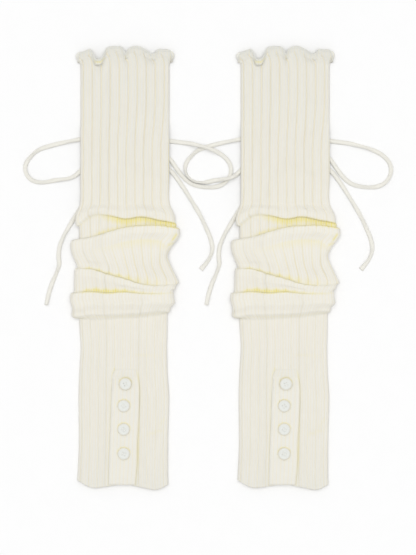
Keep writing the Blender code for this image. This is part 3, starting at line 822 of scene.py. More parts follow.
def add_camera_and_light():
    scene = bpy.context.scene
    data = bpy.data.cameras.new("camera")
    data.lens, data.sensor_width = LENS, SENSOR
    camera = linked("camera", data)
    away = VIEW_HEIGHT / SENSOR * LENS
    camera.location = Vector((*VIEW_CENTRE, away)) * MM
    scene.camera = camera
    scene.view_settings.view_transform = "Standard"

    world = bpy.data.worlds.new("studio")
    world.use_nodes = True
    background = world.node_tree.nodes["Background"]
    background.inputs["Color"].default_value = (*SKY_COLOUR, 1.0)
    background.inputs["Strength"].default_value = SKY_STRENGTH
    scene.world = world
    lamp = bpy.data.lights.new("window", "SUN")
    lamp.energy, lamp.angle = WINDOW_STRENGTH, math.radians(WINDOW_SPREAD)
    linked("window", lamp).rotation_euler = [math.radians(turn) for turn in WINDOW_TURN]


def add_floor():
    grid = bmesh.new()
    bmesh.ops.create_grid(
        grid, x_segments=FLOOR_SQUARES, y_segments=FLOOR_SQUARES, size=FLOOR_HALF * MM)
    data = bpy.data.meshes.new("floor")
    grid.to_mesh(data)
    grid.free()
    floor = linked("floor", data)
    finish = Finish("pale_floor", FLOOR_COLOUR, roughness=0.9)
    finish.shader.inputs["Specular IOR Level"].default_value = 0.1
    grain = finish.noise(finish.place(), scale=40.0)
    finish.colour(finish.blend(grain, FLOOR_COLOUR, FLOOR_SHADE))
    floor.data.materials.append(finish.made)


def tape_finish():
    made = Finish("tie_tape_knit", TAPE_COLOUR, roughness=0.85, sheen=0.25)
    u, v, _ = made.split(made.cloth_uv())
    height = made.knit_height(u, v)
    mottle = made.noise(made.place(), scale=260.0)
    base = made.blend(mottle, TAPE_COLOUR, TAPE_TONE_AND_SHADE)
    # Painted shade between the tape's stitches, where the knit stands low.
    made.colour(made.blend(height, TAPE_TONE_AND_SHADE, base))
    made.bump(height, TAPE_BUMP)
    return made.made


def tie_height(side, name, points):
    """How far a tie is lifted where it passes over another."""
    if (side, name) not in HUMPS:
        return np.zeros(len(points))
    middle, flat, reach = HUMPS[side, name]
    away = np.linalg.norm(points - middle, axis=1)
    return (TIE_DIAMETER + GAP) * near(away, flat, reach)


def squeezed(side, name, points, turns):
    """The tape's turns, brought to those that let it by another where the two squeeze past."""
    if (side, name) not in SQUEEZES:
        return turns
    middle, turn, flat, reach = SQUEEZES[side, name]
    away = np.linalg.norm(points - middle, axis=1)
    return between(turns, math.radians(turn), near(away, flat, reach))


def tape_points(side, name, offset):
    """The tape's rings of points and its centreline: flat where hidden, twisting where it shows."""
    route = smooth_route(TIE_ROUTES[name], TAPE_STEP)
    steps = np.gradient(route, axis=0)
    along = steps / np.linalg.norm(steps, axis=1, keepdims=True)
    run = run_along(route)
    shown = eased((np.abs(route[:, 0]) - HIDDEN_WITHIN + TWIST_LEAD) / TWIST_REACH)
    turns = np.zeros(len(route))
    for length, size, start in TAPE_TWISTS[name]:
        turns += math.radians(size) * np.sin(2 * math.pi * run / length + start)
    turns = squeezed(side, name, route, turns * shown)
    half = np.sqrt((TAPE_WIDTH / 2 * np.sin(turns)) ** 2 + (TAPE_THICKNESS / 2 * np.cos(turns)) ** 2)
    lift = half + tie_height(side, name, route) + TAPE_REST
    centre = np.column_stack([route[:, 0] + offset, route[:, 1], lift])
    sideways = np.column_stack([along[:, 1], -along[:, 0], np.zeros(len(route))])
    up = np.array([0.0, 0.0, 1.0])
    round_way = round_turns(TAPE_SIDES)
    ridge = 1 + TAPE_RIDGE * np.cos(round_way * TAPE_WALES)
    wide, tall = (
        np.sign(part) * np.abs(part) ** corner * ridge
        for part, corner in zip((np.cos(round_way), np.sin(round_way)), TAPE_CORNERS)
    )
    is_tail = "tail" in name
    flare = 1 + is_tail * TAPE_FLARE * eased(1 - (run[-1] - run) / TAPE_FLARE_REACH)
    from_knot = run if is_tail else np.minimum(run, run[-1] - run)
    gathered = 1 - TAPE_GATHER * eased(1 - from_knot / TAPE_GATHER_REACH)
    width = (TAPE_WIDTH / 2 * flare * gathered)[:, None] * wide
    thick = (TAPE_THICKNESS / 2 / flare)[:, None] * tall
    c, s = np.cos(turns)[:, None], np.sin(turns)[:, None]
    out, rise = width * c - thick * s, width * s + thick * c
    rings = centre[:, None] + out[..., None] * sideways[:, None] + rise[..., None] * up
    rings[..., 2] = np.maximum(rings[..., 2], 0.0)
    return rings, centre, run


def add_ties():
    finish = tape_finish()
    wales = np.linspace(0, TAPE_WALES, TAPE_SIDES + 1)
    for side, offset in SIDES.items():
        for name in TIE_ROUTES:
            rings, centre, run = tape_points(side, name, offset)
            node = f"{side}_{name}"
            uv = (run / TAPE_COURSE, wales)
            made = grid_mesh(f"{node}_tape", rings, ends="capped", uv=uv)
            piece(made, [node], finish)
    return finish


def hidden_pieces():
    """The straight pieces of the tie that lie under the tube, as their starts and directions."""
    pieces = []
    for points in TIE_ROUTES.values():
        route = smooth_route(points, TIE_STEP)
        for start, end in zip(route, route[1:]):
            if abs(start[0]) < HIDDEN_WITHIN and abs(end[0]) < HIDDEN_WITHIN:
                pieces.append((start, end - start))
    return table_columns(pieces)


HIDDEN_STARTS, HIDDEN_STEPS = hidden_pieces()


def hidden_lift(x, y):
    """How far the underside stands off the surface where the tie and its knot lie below it."""
    places = np.stack([x, y], axis=-1)[..., None, :]
    to_place = places - HIDDEN_STARTS
    share = np.clip((to_place * HIDDEN_STEPS).sum(-1) / (HIDDEN_STEPS**2).sum(axis=1), 0, 1)
    away = np.linalg.norm(to_place - HIDDEN_STEPS * share[..., None], axis=-1).min(axis=-1)
    tie = (TIE_DIAMETER + LIFT_CLEARANCE) * near(away, LIFT_FLAT, LIFT_REACH)
    away = np.hypot(x - KNOT_CENTRE[0], y - KNOT_CENTRE[1])
    knot = near(away, KNOT_LIFT_FLAT, KNOT_LIFT_REACH)
    return np.maximum(tie, (KNOT_SIZE[2] + LIFT_CLEARANCE) * knot)


class Row:
    """One line round the tube: where it runs across the front and the back, and how high."""

    def __init__(
        self, left, right, front_y, top, back_y=None, back_z=None, fluted=0.0, lean=0.0, pressed=1.0
    ):
        """front_y, top, back_y and back_z are functions of the place across; lean is in millimetres.

        A fluted row has its ribs spread evenly. pressed is 0 where the cloth above is deep enough
        to keep its full thickness over the tie.
        """
        self.left, self.right = left, right
        self.front_y, self.top = front_y, top
        ends = front_y(np.array([left, right]))
        self.back_y = back_y or (lambda x: between(ends[0], ends[1], self.across(x)))
        self.back_z = back_z or (lambda x: 0.0 * x)
        self.fluted, self.lean, self.pressed = fluted, lean, pressed
        self.middle = float(front_y(np.array([0.0]))[0])
        self.pitch = float(curve_at(*zip(*RIB_PITCH), self.middle))
        ys, lefts, rights = zip(*RIB_EDGES)
        inside = ys[0] < self.middle < ys[-1]
        self.rib_left = float(curve_at(ys, lefts, self.middle)) if inside else left
        self.rib_right = float(curve_at(ys, rights, self.middle)) if inside else right

    def across(self, x):
        return (x - self.left) / (self.right - self.left)

    def shares(self, ribs):
        """Shares round the row for places counted in ribs from the first groove."""
        last = GROOVES - 1
        rest = (2.0 - last * self.pitch) / (RIBS_ROUND - last)
        ribbed = FIRST_GROOVE + np.where(
            ribs < last, ribs * self.pitch, last * self.pitch + (ribs - last) * rest
        )
        return between(ribbed, (ribs + 0.5) / GROOVES, self.fluted)

    def place(self, q):
        """Place across, outward and upward direction and height share at q.

        q is 0 to 1 over the front from left to right, and 1 to 2 back along the underside.
        """
        q = np.mod(q, 2.0)
        over = q <= 1.0
        q = np.where(over, q, 2.0 - q)
        left, right = self.rib_left, self.rib_right
        round_left, round_right = self.top(np.array([self.left, self.right])) / 2
        arc_left, arc_right = math.pi / 2 * round_left, math.pi / 2 * round_right
        flat = right - left - round_left - round_right
        s = q * (arc_left + flat + arc_right)
        at_left, at_right = s < arc_left, s > arc_left + flat
        turn = np.where(at_left, s / round_left, (arc_left + flat + arc_right - s) / round_right)
        turn = np.where(at_left | at_right, turn, math.pi / 2)
        bend_left = left + round_left * (1 - np.cos(turn))
        bend_right = right - round_right * (1 - np.cos(turn))
        x = np.where(at_left, bend_left, left + round_left + s - arc_left)
        x = np.where(at_right, bend_right, x)
        outward = np.cos(turn) * np.where(at_left, -1.0, np.where(at_right, 1.0, 0.0))
        up = np.where(over, np.sin(turn), -np.sin(turn))
        height = (1 + up) / 2
        across = (x - left) / (right - left)
        x = x + (self.left - left) * (1 - across) ** BULGE_POWER
        x = x + (self.right - right) * across**BULGE_POWER
        x = x + self.lean * np.sin(math.pi * across) * height
        return x, outward, up, height

    def outer(self, q):
        x, _, _, height = self.place(q)
        y = between(self.back_y(x), self.front_y(x), eased(height))
        lift = hidden_lift(x, y)
        under = np.maximum(lift, self.back_z(x))
        z = between(under, self.top(x) + FRONT_LIFT_SHARE * lift, height)
        return np.stack([x, y, z], axis=-1)

    def inner(self, q):
        x, _, _, height = self.place(q)
        x = np.clip(x, self.left + SIDE_WALL, self.right - SIDE_WALL)
        y = between(self.back_y(x), self.front_y(x), eased(height))
        lift = hidden_lift(x, y)
        pressed = np.minimum(lift / (TIE_DIAMETER + LIFT_CLEARANCE), 1.0) * self.pressed
        floor = np.maximum(lift, self.back_z(x)) + between(BACK_WALL, PRESSED_BACK, pressed)
        roof = np.maximum(
            floor + between(SLIT, PRESSED_SLIT, pressed),
            self.top(x) - FRONT_WALL if self.fluted else 0.0,
        )
        return np.stack([x, y, between(floor, roof, height)], axis=-1)


def stationed(left, values, right):
    """A smooth curve across the cloth through values at its two edges and the stations."""
    places = (left,) + STATIONS + (right,)
    return lambda x: curve_at(places, values, x)


def levelled(left, levels, right):
    """A smooth height across the cloth through levels at its left edge, middle and right edge."""
    return lambda x: curve_at((left, 0.0, right), levels, x)


def flat_top(x):
    return FLAT_TOP + 0.0 * x


def flat_row(y, left, right, pressed=1.0):
    return Row(left, right, lambda x: y + 0.0 * x, flat_top, pressed=pressed)


def lip_y(x):
    return curve_at(*table_columns(FLUTES), x)


def flute_row(share, short, band):
    """A row of the fluted top, where the lip rises as its outline falls back."""
    base = UPPER_ROWS[0]
    spread = share * share
    left = between(base[1], FLUTES[0][0], spread)
    right = between(base[2], FLUTES[-1][0], spread)

    def rise(x):
        return FLUTE_RISE * (FLUTE_TOP - lip_y(x)) * spread

    def below_lip(lip):
        return lip - short if share == 1 else between(FLUTE_BASE, lip - EDGE_DEPTH, share)

    def front_y(x):
        return below_lip(lip_y(x))

    def back_y(x):
        return below_lip(BACK_LIP_Y + (lip_y(x) - BACK_LIP_Y) * BACK_LIP_SHARE)

    def top(x):
        return FLAT_TOP + rise(x) + band

    def back_z(x):
        return rise(x) * BACK_LIP_SHARE

    return Row(left, right, front_y, top, back_y, back_z, fluted=spread)


def fold_rooms():
    """The room beside each fold line: on the side that the fold lies on, and on the other."""
    top, bottom = (np.full(len(FOLDS[0][2]), row[0]) for row in (UPPER_ROWS[-1], LOWER_ROWS[0]))
    lines = [top, *(np.array(fold[2]) for fold in FOLDS), bottom]
    rooms = []
    for fold, before, line, after in zip(FOLDS, lines, lines[1:], lines[2:]):
        above, below = before - line, line - after
        rooms.append((below, above) if fold[1] > 0 else (above, below))
    return rooms


def fold_steps(way):
    """The steps of a fold's rows, from the top down. A line with no overlap has just one."""
    if way == 0:
        return [(0.0, 0.0, 0.0, 1.0)]
    steps = [*OVERLAP, (CREST_REACH, CREST_REACH, CREST_REACH, 1.0)]
    return steps if way > 0 else steps[::-1]


def fold_rows():
    """Rows through the pushed-down slack: each overlap dips, doubles back and rolls over."""
    rows = []
    for fold, (gap, room) in zip(FOLDS, fold_rooms()):
        name, way, ys, lefts, rights, low, high, leans = fold
        undercut = np.array(UNDERCUTS.get(name, np.zeros(len(ys))))
        for hanging, rounded, side, height in fold_steps(way):
            left, right = between(*lefts, height), between(*rights, height)
            reach = between(rounded, hanging, undercut)
            reach[[0, -1]] = side
            reach = np.clip(reach, -HOLLOW_SHARE * room, CREST_SHARE * gap)
            front_y = stationed(left, np.array(ys) - way * reach, right)
            levels = [between(a, b, height) for a, b in zip(low, high)]
            top = levelled(left, levels, right)
            rows.append(Row(left, right, front_y, top, lean=between(*leans, height)))
    return rows


def hem_row():
    ys = (HEM_LEFT[0],) + HEM_Y + (HEM_RIGHT[0],)
    front_y = stationed(HEM_LEFT[1], ys, HEM_RIGHT[1])
    return Row(HEM_LEFT[1], HEM_RIGHT[1], front_y, flat_top, back_y=front_y)


def columns_round():
    """Places of the mesh's columns, counted in ribs, closer together near the grooves."""
    places = []
    for rib in range(RIBS_ROUND):
        fine = rib < GROOVES + 1 or rib == RIBS_ROUND - 1
        places += [rib + share for share in (FINE_COLUMNS if fine else COARSE_COLUMNS)]
    return np.array(places)


def level_slopes(rings, along):
    """Slopes at each row that never carry a curve past the rows on either side of it."""
    spans = np.diff(along)[:, None, None]
    steps = np.diff(rings, axis=0) / spans
    before, after = steps[:-1], steps[1:]
    low, high = 2 * spans[1:] + spans[:-1], spans[1:] + 2 * spans[:-1]
    same = before * after > 0
    before, after = np.where(same, before, 1.0), np.where(same, after, 1.0)
    inside = np.where(same, (low + high) / (low / before + high / after), 0.0)
    return np.concatenate([steps[:1], inside, steps[-1:]])


def through_rows(rings, spacings):
    """Finer rows on smooth curves through the rings of points, and how far along each lies."""
    rings = np.array(rings)
    along = running(row_steps(rings))
    slopes = level_slopes(rings, along)
    fine, lengths = [], []
    for i, spacing in enumerate(spacings[: len(rings) - 1]):
        span = along[i + 1] - along[i]
        count = max(round(span / spacing), 1)
        for t in np.arange(count) / count:
            fine.append(hermite(t, span, rings[i], rings[i + 1], slopes[i], slopes[i + 1]))
            lengths.append(along[i] + t * span)
    fine.append(rings[-1])
    lengths.append(along[-1])
    return np.array(fine), np.array(lengths)


def outward_normals(points):
    """Unit normals of a grid that is closed round its rows."""
    down = np.gradient(points, axis=0)
    round_way = np.roll(points, -1, axis=1) - np.roll(points, 1, axis=1)
    normals = np.cross(down, round_way)
    return normals / np.maximum(np.linalg.norm(normals, axis=2, keepdims=True), 1e-9)


def tube_grid():
    """The tube's points, outside from lip to hem and inside back to the lip, and their marks."""
    ribs = columns_round()
    flutes = [flute_row(*row) for row in FLUTE_ROWS]
    upper = [flat_row(*row) for row in UPPER_ROWS]
    folds = fold_rows()
    lower = [flat_row(*row) for row in LOWER_ROWS]
    slack = [flat_row(*row, pressed=0.0) for row in INNER_SLACK_ROWS]
    hem = hem_row()
    rows = flutes + upper + folds + lower + [hem]
    spacings = [FLUTE_SPACING] * len(flutes) + [PLAIN_SPACING] * (len(upper) - 1)
    spacings += [FOLD_SPACING] * (len(folds) + 1) + [PLAIN_SPACING] * (len(lower) - 1)
    spacings.append(HEM_SPACING)
    rings = [row.outer(row.shares(ribs)) for row in rows]
    outer, along = through_rows(rings, spacings)

    shown = [UPPER_GROOVES] * (len(flutes) + len(upper)) + fold_grooves()
    shown += [LOWER_GROOVES] * (len(lower) + 1)
    shown[:EDGE_GROOVE_ROWS] = [EDGE_GROOVES] * EDGE_GROOVE_ROWS
    shown[-1] = HEM_GROOVES
    run = running(row_steps(rings))
    # How deep each row's grooves are, and how strongly they are painted with warm shade.
    depth, shade_strength = (np.interp(along, run, part)[:, None] for part in np.array(shown).T)

    lengths = np.linalg.norm(np.diff(outer, axis=0), axis=2)
    nearby = range(-EVEN_COLUMNS, EVEN_COLUMNS + 1)
    lengths = sum(np.roll(lengths, step, axis=1) for step in nearby) / len(nearby)
    along = np.concatenate([np.zeros((1, len(ribs))), np.cumsum(lengths, axis=0)])
    normals = outward_normals(outer)
    facing = np.minimum(1 + normals[..., 2], 1.0)
    away = np.abs(ribs - np.round(ribs)) * RIB_WIDTH
    groove = np.exp(-((away / RIB_GROOVE_SPREAD) ** 2))
    crown = np.sqrt(np.clip(np.cos(math.pi * (ribs - np.floor(ribs) - 0.5)), 0, 1))
    # The grooves' painted shade grows towards the right of the slanted panel.
    panel = eased((outer[..., 1] - PANEL_FOOT[0]) / PANEL_FOOT[1])
    panel = panel * eased((PANEL_HEAD[0] - outer[..., 1]) / PANEL_HEAD[1])
    shown_there = between(1.0, np.interp(outer[..., 0], *zip(*PANEL_GROOVE_SHADE)), panel)
    depth, shade_strength = depth * shown_there, shade_strength * shown_there
    # How strongly each point is painted with crease shade, and the short creases' dents.
    painted_shade, dent = painted_crease_shades(outer, ribs, normals)
    outer = outer + normals * (
        RIB_CROWN * (crown - 1) * np.minimum(depth * 2, 1) - groove * depth * facing - dent
    )[..., None]
    outer[..., 2] = np.maximum(outer[..., 2], 0.0)

    inside_rows = [hem] + lower[::-1] + slack[::-1] + upper[::-1]
    inside_rows += [flutes[row] for row in INSIDE_FLUTES]
    inner = np.array([row.inner(row.shares(ribs)) for row in inside_rows])
    points = np.concatenate([outer, inner])
    back = along[-1] + np.arange(1, len(inner) + 1)[:, None] * INSIDE_STEP
    # The finish's marks: painted warm shade in the grooves, greyness by height, and painted crease
    # shade, with a little over the whole inside.
    marks = {
        "groove": np.concatenate([groove * shade_strength, np.zeros(inner.shape[:2])]),
        "pulled": np.interp(points[..., 1], *zip(*GREYING_BY_HEIGHT)),
        "crease": np.concatenate([painted_shade, np.full(inner.shape[:2], INSIDE_CREASE_SHADE)]),
    }
    return points, marks, np.concatenate([along, back]), ribs, len(outer)


def row_steps(rings):
    """How far each ring of points lies from the next, on average."""
    return np.linalg.norm(np.diff(np.array(rings), axis=0), axis=2).mean(axis=1)


def fold_grooves():
    """Depth and painted warm shade of the grooves for each of the fold rows."""
    shown = []
    for name, way, *_ in FOLDS:
        hollow, on_fold = np.array(FOLD_GROOVES[name])
        shown += [tuple(between(hollow, on_fold, step[-1])) for step in fold_steps(way)]
    return shown


def beside(off, beyond, reach):
    """1 on a line, fading over the reach on its own side and faster beyond it."""
    return np.where(off < 0, eased(1 + off / beyond), 1 - eased(off / reach))


def painted_crease_shades(points, ribs, normals):
    """How much painted crease shade each point takes, and how far the short creases dent it."""
    x, y = points[..., 0], points[..., 1]
    painted_shade, dent = np.zeros(x.shape), np.zeros(x.shape)
    front = eased((normals[..., 2] + FRONT_TURN) / FRONT_TURN)
    lines = {fold[0]: fold for fold in FOLDS}
    # Painted shade beside each fold's line, gathered at the ribs.
    for name, side, places, strengths, reaches in FOLD_CREASE_SHADES:
        _, _, ys, lefts, rights, *_ = lines[name]
        line = stationed(max(lefts), ys, min(rights))(x)
        off = side * (y - line)
        low, high, times = FOLD_SHADE_DOTS[name]
        away = np.abs(ribs * times - np.round(ribs * times)) / times * RIB_WIDTH
        dots = np.exp(-((away * times / DOT_WIDTH) ** 2))
        reach = np.interp(x, places, reaches) * between(DOT_REACH, 1.0, dots)
        fade = beside(off, FOLD_SHADE_BEYOND, reach)
        strength = np.interp(x, places, strengths) * between(low, high, dots)
        painted_shade = np.maximum(painted_shade, strength * fade * front)
    # Painted shade in the short creases, and their dents.
    for middle_x, middle_y, turn, half_length, half_width, shade_strength, depth in SHORT_CREASES:
        turn = math.radians(turn)
        off_x, off_y = x - middle_x, y - middle_y
        along = off_x * math.cos(turn) + off_y * math.sin(turn)
        across = off_y * math.cos(turn) - off_x * math.sin(turn)
        share = np.exp(-((across / half_width) ** 2)) * eased(2 - 2 * np.abs(along) / half_length)
        painted_shade = np.maximum(painted_shade, shade_strength * share * front)
        dent = np.maximum(dent, depth * share * front)
    # Painted shade beside the placket's sewn and free edges.
    for edge, way, strength in zip(placket_edges(y), (-1, 1), placket_shade_strengths(y)):
        off = way * (x - edge)
        share = beside(off, PLACKET_SHADE_BEYOND, PLACKET_SHADE_REACH)
        painted_shade = np.maximum(painted_shade, strength * share * front)
    return np.minimum(painted_shade, 1.0), dent


def placket_edges(y):
    """The places across of the placket's left and right edge."""
    ys, lefts, rights = table_columns(PLACKET[::-1])
    return curve_at(ys, lefts, y), curve_at(ys, rights, y)


def placket_shade_strengths(y):
    ys, lefts, rights = table_columns(PLACKET_SHADES)
    return np.interp(y, ys, lefts), np.interp(y, ys, rights)


def painted_band_shade(rings):
    """Painted shade on the placket band: down its right side, and close round its buttons."""
    x, y = rings[..., 0], rings[..., 1]
    _, right = placket_edges(y)
    painted_shade = placket_shade_strengths(y)[1] * (1 - eased(right - x))
    for button_x, button_y in BUTTONS:
        off_x, off_y = x - button_x, y - button_y
        away = np.hypot(off_x, off_y)
        share = 1 - eased((away - BUTTON_REACH) / BUTTON_SHADE_REACH)
        upper = eased(off_y / np.maximum(away, 0.1) + BUTTON_SHADE_TURN)
        upper = between(*BUTTON_SHADE_SHARES, upper)
        painted_shade = np.maximum(painted_shade, BUTTON_SHADE * share * upper)
    return np.minimum(painted_shade, 1.0)


def shelter(points, normals, tree):
    """How much nearby cloth stands over each point: 0 in the open, towards 1 deep in a crease."""
    turns = [(k * GOLDEN_TURN, math.sqrt((k + 0.5) / SHELTER_RAYS)) for k in range(SHELTER_RAYS)]
    found = np.zeros(points.shape[:2])
    for i, (line, line_normals) in enumerate(zip(points, normals)):
        for j, (point, normal) in enumerate(zip(line, line_normals)):
            if normal[2] < FACING_DOWN:
                continue
            up = Vector(normal)
            side = up.orthogonal().normalized()
            other = up.cross(side)
            start = Vector(point) + up * SHELTER_START
            total = 0.0
            for turn, spread in turns:
                way = side * (math.cos(turn) * spread) + other * (math.sin(turn) * spread)
                way += up * math.sqrt(1 - spread * spread)
                away = tree.ray_cast(start, way, SHELTER_REACH)[3]
                if away is not None:
                    total += 1 - away / SHELTER_REACH
            found[i, j] = total / SHELTER_RAYS
    return found


def rib_waves(made, u, times):
    """A wave across each rib that comes so many times."""
    return made.math("COSINE", made.times(u, 2 * math.pi * times / WALES_IN_RIB))


def knit_finish():
    """Cream rib knit: wales in columns and warm lines, with painted shade in gaps, grooves and
    creases.
    """
    made = Finish("rib_knit_cloth", KNIT_COLOUR, roughness=0.92, sheen=0.3)
    u, v, _ = made.split(made.cloth_uv())
    height = made.knit_height(u, v)
    mottle = made.times(made.noise(made.place(), scale=45.0, detail=3.0), MOTTLE_SHARE)
    lanes = made.join(made.times(u, STREAK_FINENESS[0]), made.times(v, STREAK_FINENESS[1]))
    streak = made.less(made.noise(lanes, scale=1.0), STREAK_FROM)
    streak = made.times(streak, STREAK_GAIN, clamp=True)
    # The knit is made greyer as the pulled mark gives, most up the fluted top.
    tone = made.blend(made.mark("pulled"), KNIT_COLOUR, GREYED_KNIT_COLOUR)
    tone = made.blend(mottle, tone, KNIT_DARK_TONE_AND_SHADE)
    tone = made.blend(streak, tone, made.blend(STREAK_SHARE, tone, KNIT_DARK_TONE_AND_SHADE))
    # Painted shade between the stitches, where the knit stands low.
    tone = made.blend(made.times(made.less(1.0, height), STITCH_SHADE_SHARE), tone, KNIT_DARK_TONE_AND_SHADE)
    lines = made.math("ADD", rib_waves(made, u, LINES_IN_RIB), 1.0)
    lines = made.math("POWER", made.times(lines, 0.5), LINE_NARROWNESS)
    tone = made.blend(made.times(lines, LINE_SHARE), tone, WARM_LINE_AND_GROOVE_SHADE)
    # Painted warm shade in the grooves.
    tone = made.blend(made.times(made.mark("groove"), GROOVE_SHADE_SHARE, clamp=True), tone, WARM_LINE_AND_GROOVE_SHADE)
    dots = made.times(rib_waves(made, u, DOTS_IN_RIB), DOT_CONTRAST)
    dots = made.math("ADD", dots, DOT_MEAN)
    # Painted crease shade, warm yellow, gathered in finer dots at the wales.
    crease_shading = made.times(made.mark("crease"), dots, clamp=True)
    made.colour(made.blend(crease_shading, tone, PAINTED_CREASE_SHADE))
    made.bump(height, KNIT_BUMP)
    return made.made


def placket_rings():
    """Closed sections of the placket band from its top end to its foot, and their place along it."""
    head, foot = PLACKET[0][0], PLACKET[-1][0]
    places = np.linspace(head, foot, PLACKET_ROWS)
    y = places[:, None]
    share, rise = table_columns(PLACKET_SECTION)
    left, right = placket_edges(y)
    at_head = between(PLACKET_ENDS[0], 1.0, eased((head - y) / PLACKET_FADE))
    at_foot = between(PLACKET_ENDS[1], 1.0, eased((y - foot) / PLACKET_FOOT_FADE))
    under = FLAT_TOP + GAP - PLACKET_SUNK
    top = FLAT_TOP + GAP + PLACKET_THICKNESS * at_head * at_foot
    for height, down, across in PLACKET_WAVES:
        top = top + height * np.sin(y * down + share * across)
    rings = np.broadcast_arrays(between(left, right, share), y, between(under, top, rise))
    return np.stack(rings, axis=-1), places


def button_mesh(name):
    """A pearl button with a rounded rim, a dished middle and four holes."""
    mesh = bmesh.new()
    profile = [mesh.verts.new((radius, 0.0, height)) for radius, height in BUTTON_RISE]
    edges = [mesh.edges.new(pair) for pair in zip(profile, profile[1:])]
    bmesh.ops.spin(mesh, geom=profile + edges, axis=(0, 0, 1), cent=(0, 0, 0),
                   steps=BUTTON_STEPS, angle=2 * math.pi, use_merge=True)
    bmesh.ops.remove_doubles(mesh, verts=mesh.verts, dist=0.001)
    bmesh.ops.recalc_face_normals(mesh, faces=mesh.faces)
    bmesh.ops.scale(mesh, vec=(MM, MM, MM), verts=mesh.verts)
    data = bpy.data.meshes.new(name)
    mesh.to_mesh(data)
    mesh.free()
    made = linked(name, data)
    cutters = bmesh.new()
    for y in (HOLE_OFF, -HOLE_OFF):
        for x in (HOLE_OFF, -HOLE_OFF):
            drilled = bmesh.ops.create_cone(
                cutters, cap_ends=True, segments=HOLE_SIDES, depth=HOLE_DEPTH * MM,
                radius1=HOLE_RADIUS * MM, radius2=HOLE_RADIUS * MM)
            bmesh.ops.translate(cutters, verts=drilled["verts"], vec=(x * MM, y * MM, 0.0))
    tool_data = bpy.data.meshes.new("holes")
    cutters.to_mesh(tool_data)
    cutters.free()
    tool = linked("holes", tool_data)
    cut = made.modifiers.new("holes", "BOOLEAN")
    cut.object, cut.operation, cut.solver = tool, "DIFFERENCE", "EXACT"
    bpy.context.view_layer.update()
    shape = bpy.data.meshes.new_from_object(made.evaluated_get(bpy.context.evaluated_depsgraph_get()))
    bpy.data.objects.remove(made)
    bpy.data.objects.remove(tool)
    shape.shade_smooth()
    shape.set_sharp_from_angle(angle=math.radians(40.0))
    shape.name = name
    return shape


def thread_tubes(name, paths, radius, offset):
    """One mesh of thin closed tubes along paths of points in millimetres, moved across."""
    tubes = []
    for path in paths:
        path = np.array(path, float) + [offset, 0, 0]
        sizes = np.full(len(path), radius)
        sizes[[0, -1]] *= THREAD_TAPER
        tubes.append((tube_rings(path, sizes, THREAD_SIDES), "capped"))
    return mesh_object(name, *as_one(tubes))


def thread_finish(name, colour, shade):
    made = Finish(name, colour, roughness=0.6, sheen=0.2)
    grain = made.noise(made.place(), scale=900.0)
    made.colour(made.blend(grain, colour, shade))
    made.bump(grain, THREAD_BUMP)
    return made.made


def pearl_finish():
    made = Finish("pearl", PEARL_COLOUR, roughness=0.32)
    made.shader.inputs["Coat Weight"].default_value = 0.2
    made.shader.inputs["Coat Roughness"].default_value = 0.15
    cloud = made.noise(made.place(), scale=180.0, detail=3.0)
    x, y, _ = made.split(made.place())
    radius = made.math("SQRT", made.math("ADD", made.times(x, x), made.times(y, y)))
    outside = made.less(radius, PEARL_RIM_RADIUS * MM)
    rim = made.times(outside, 1 / (PEARL_RIM_FADE * MM), clamp=True)
    tone = made.blend(cloud, PEARL_COLOUR, PEARL_SHADE)
    # Painted light and warm shade on the rim.
    made.colour(made.blend(rim, tone, PEARL_RIM_LIGHT_AND_SHADE))
    return made.made


def edge_paths(outer):
    """Overlock stitches over the fluted edge: each wraps from the front over to the inside."""
    edge = outer[0]
    steps = np.linalg.norm(np.roll(edge, -1, axis=0) - edge, axis=1)
    run = running(steps)
    count = int(run[-1] / EDGE_STITCH)
    normals = outward_normals(outer[: max(EDGE_ROWS) + 3])
    paths = []
    for stitch in range(count):
        path = []
        for number, row in enumerate(EDGE_ROWS):
            place = (stitch + EDGE_SLANT * (1 - number / (len(EDGE_ROWS) - 1))) * run[-1] / count
            place %= run[-1]
            k = min(int(np.searchsorted(run, place, side="right")) - 1, len(edge) - 1)
            share = (place - run[k]) / max(steps[k], 1e-9)
            after = (k + 1) % len(edge)
            point = between(outer[row, k], outer[row, after], share)
            normal = between(normals[row, k], normals[row, after], share)
            path.append(point + normal * EDGE_STAND)
        over = path[-1] + (path[-1] - path[-2]) * EDGE_OVER
        path += [over - normal * EDGE_INSIDE[0], path[-2] - normal * EDGE_INSIDE[1]]
        path = np.array(path)
        path[:, 2] = np.maximum(path[:, 2], EDGE_THREAD)
        paths.append(path)
    return paths


def sheltered_crease_shade(outer, rings):
    """Painted crease shade on the places of the tube that other cloth or the placket band shelters.
    """
    tree = BVHTree.FromPolygons(*as_one(((outer, "open"), (rings, "capped"))))
    found = shelter(outer, outward_normals(outer), tree)
    shade_strength = eased((found - CREASE_FROM) / (CREASE_FULL - CREASE_FROM)) * CREASE_MOST
    shade_strength *= 1 - eased((outer[..., 1] - FLUTE_BASE) / CREASE_FADES[0])
    return shade_strength * eased((outer[..., 1] - LOWER_ROWS[1][0]) / CREASE_FADES[1])


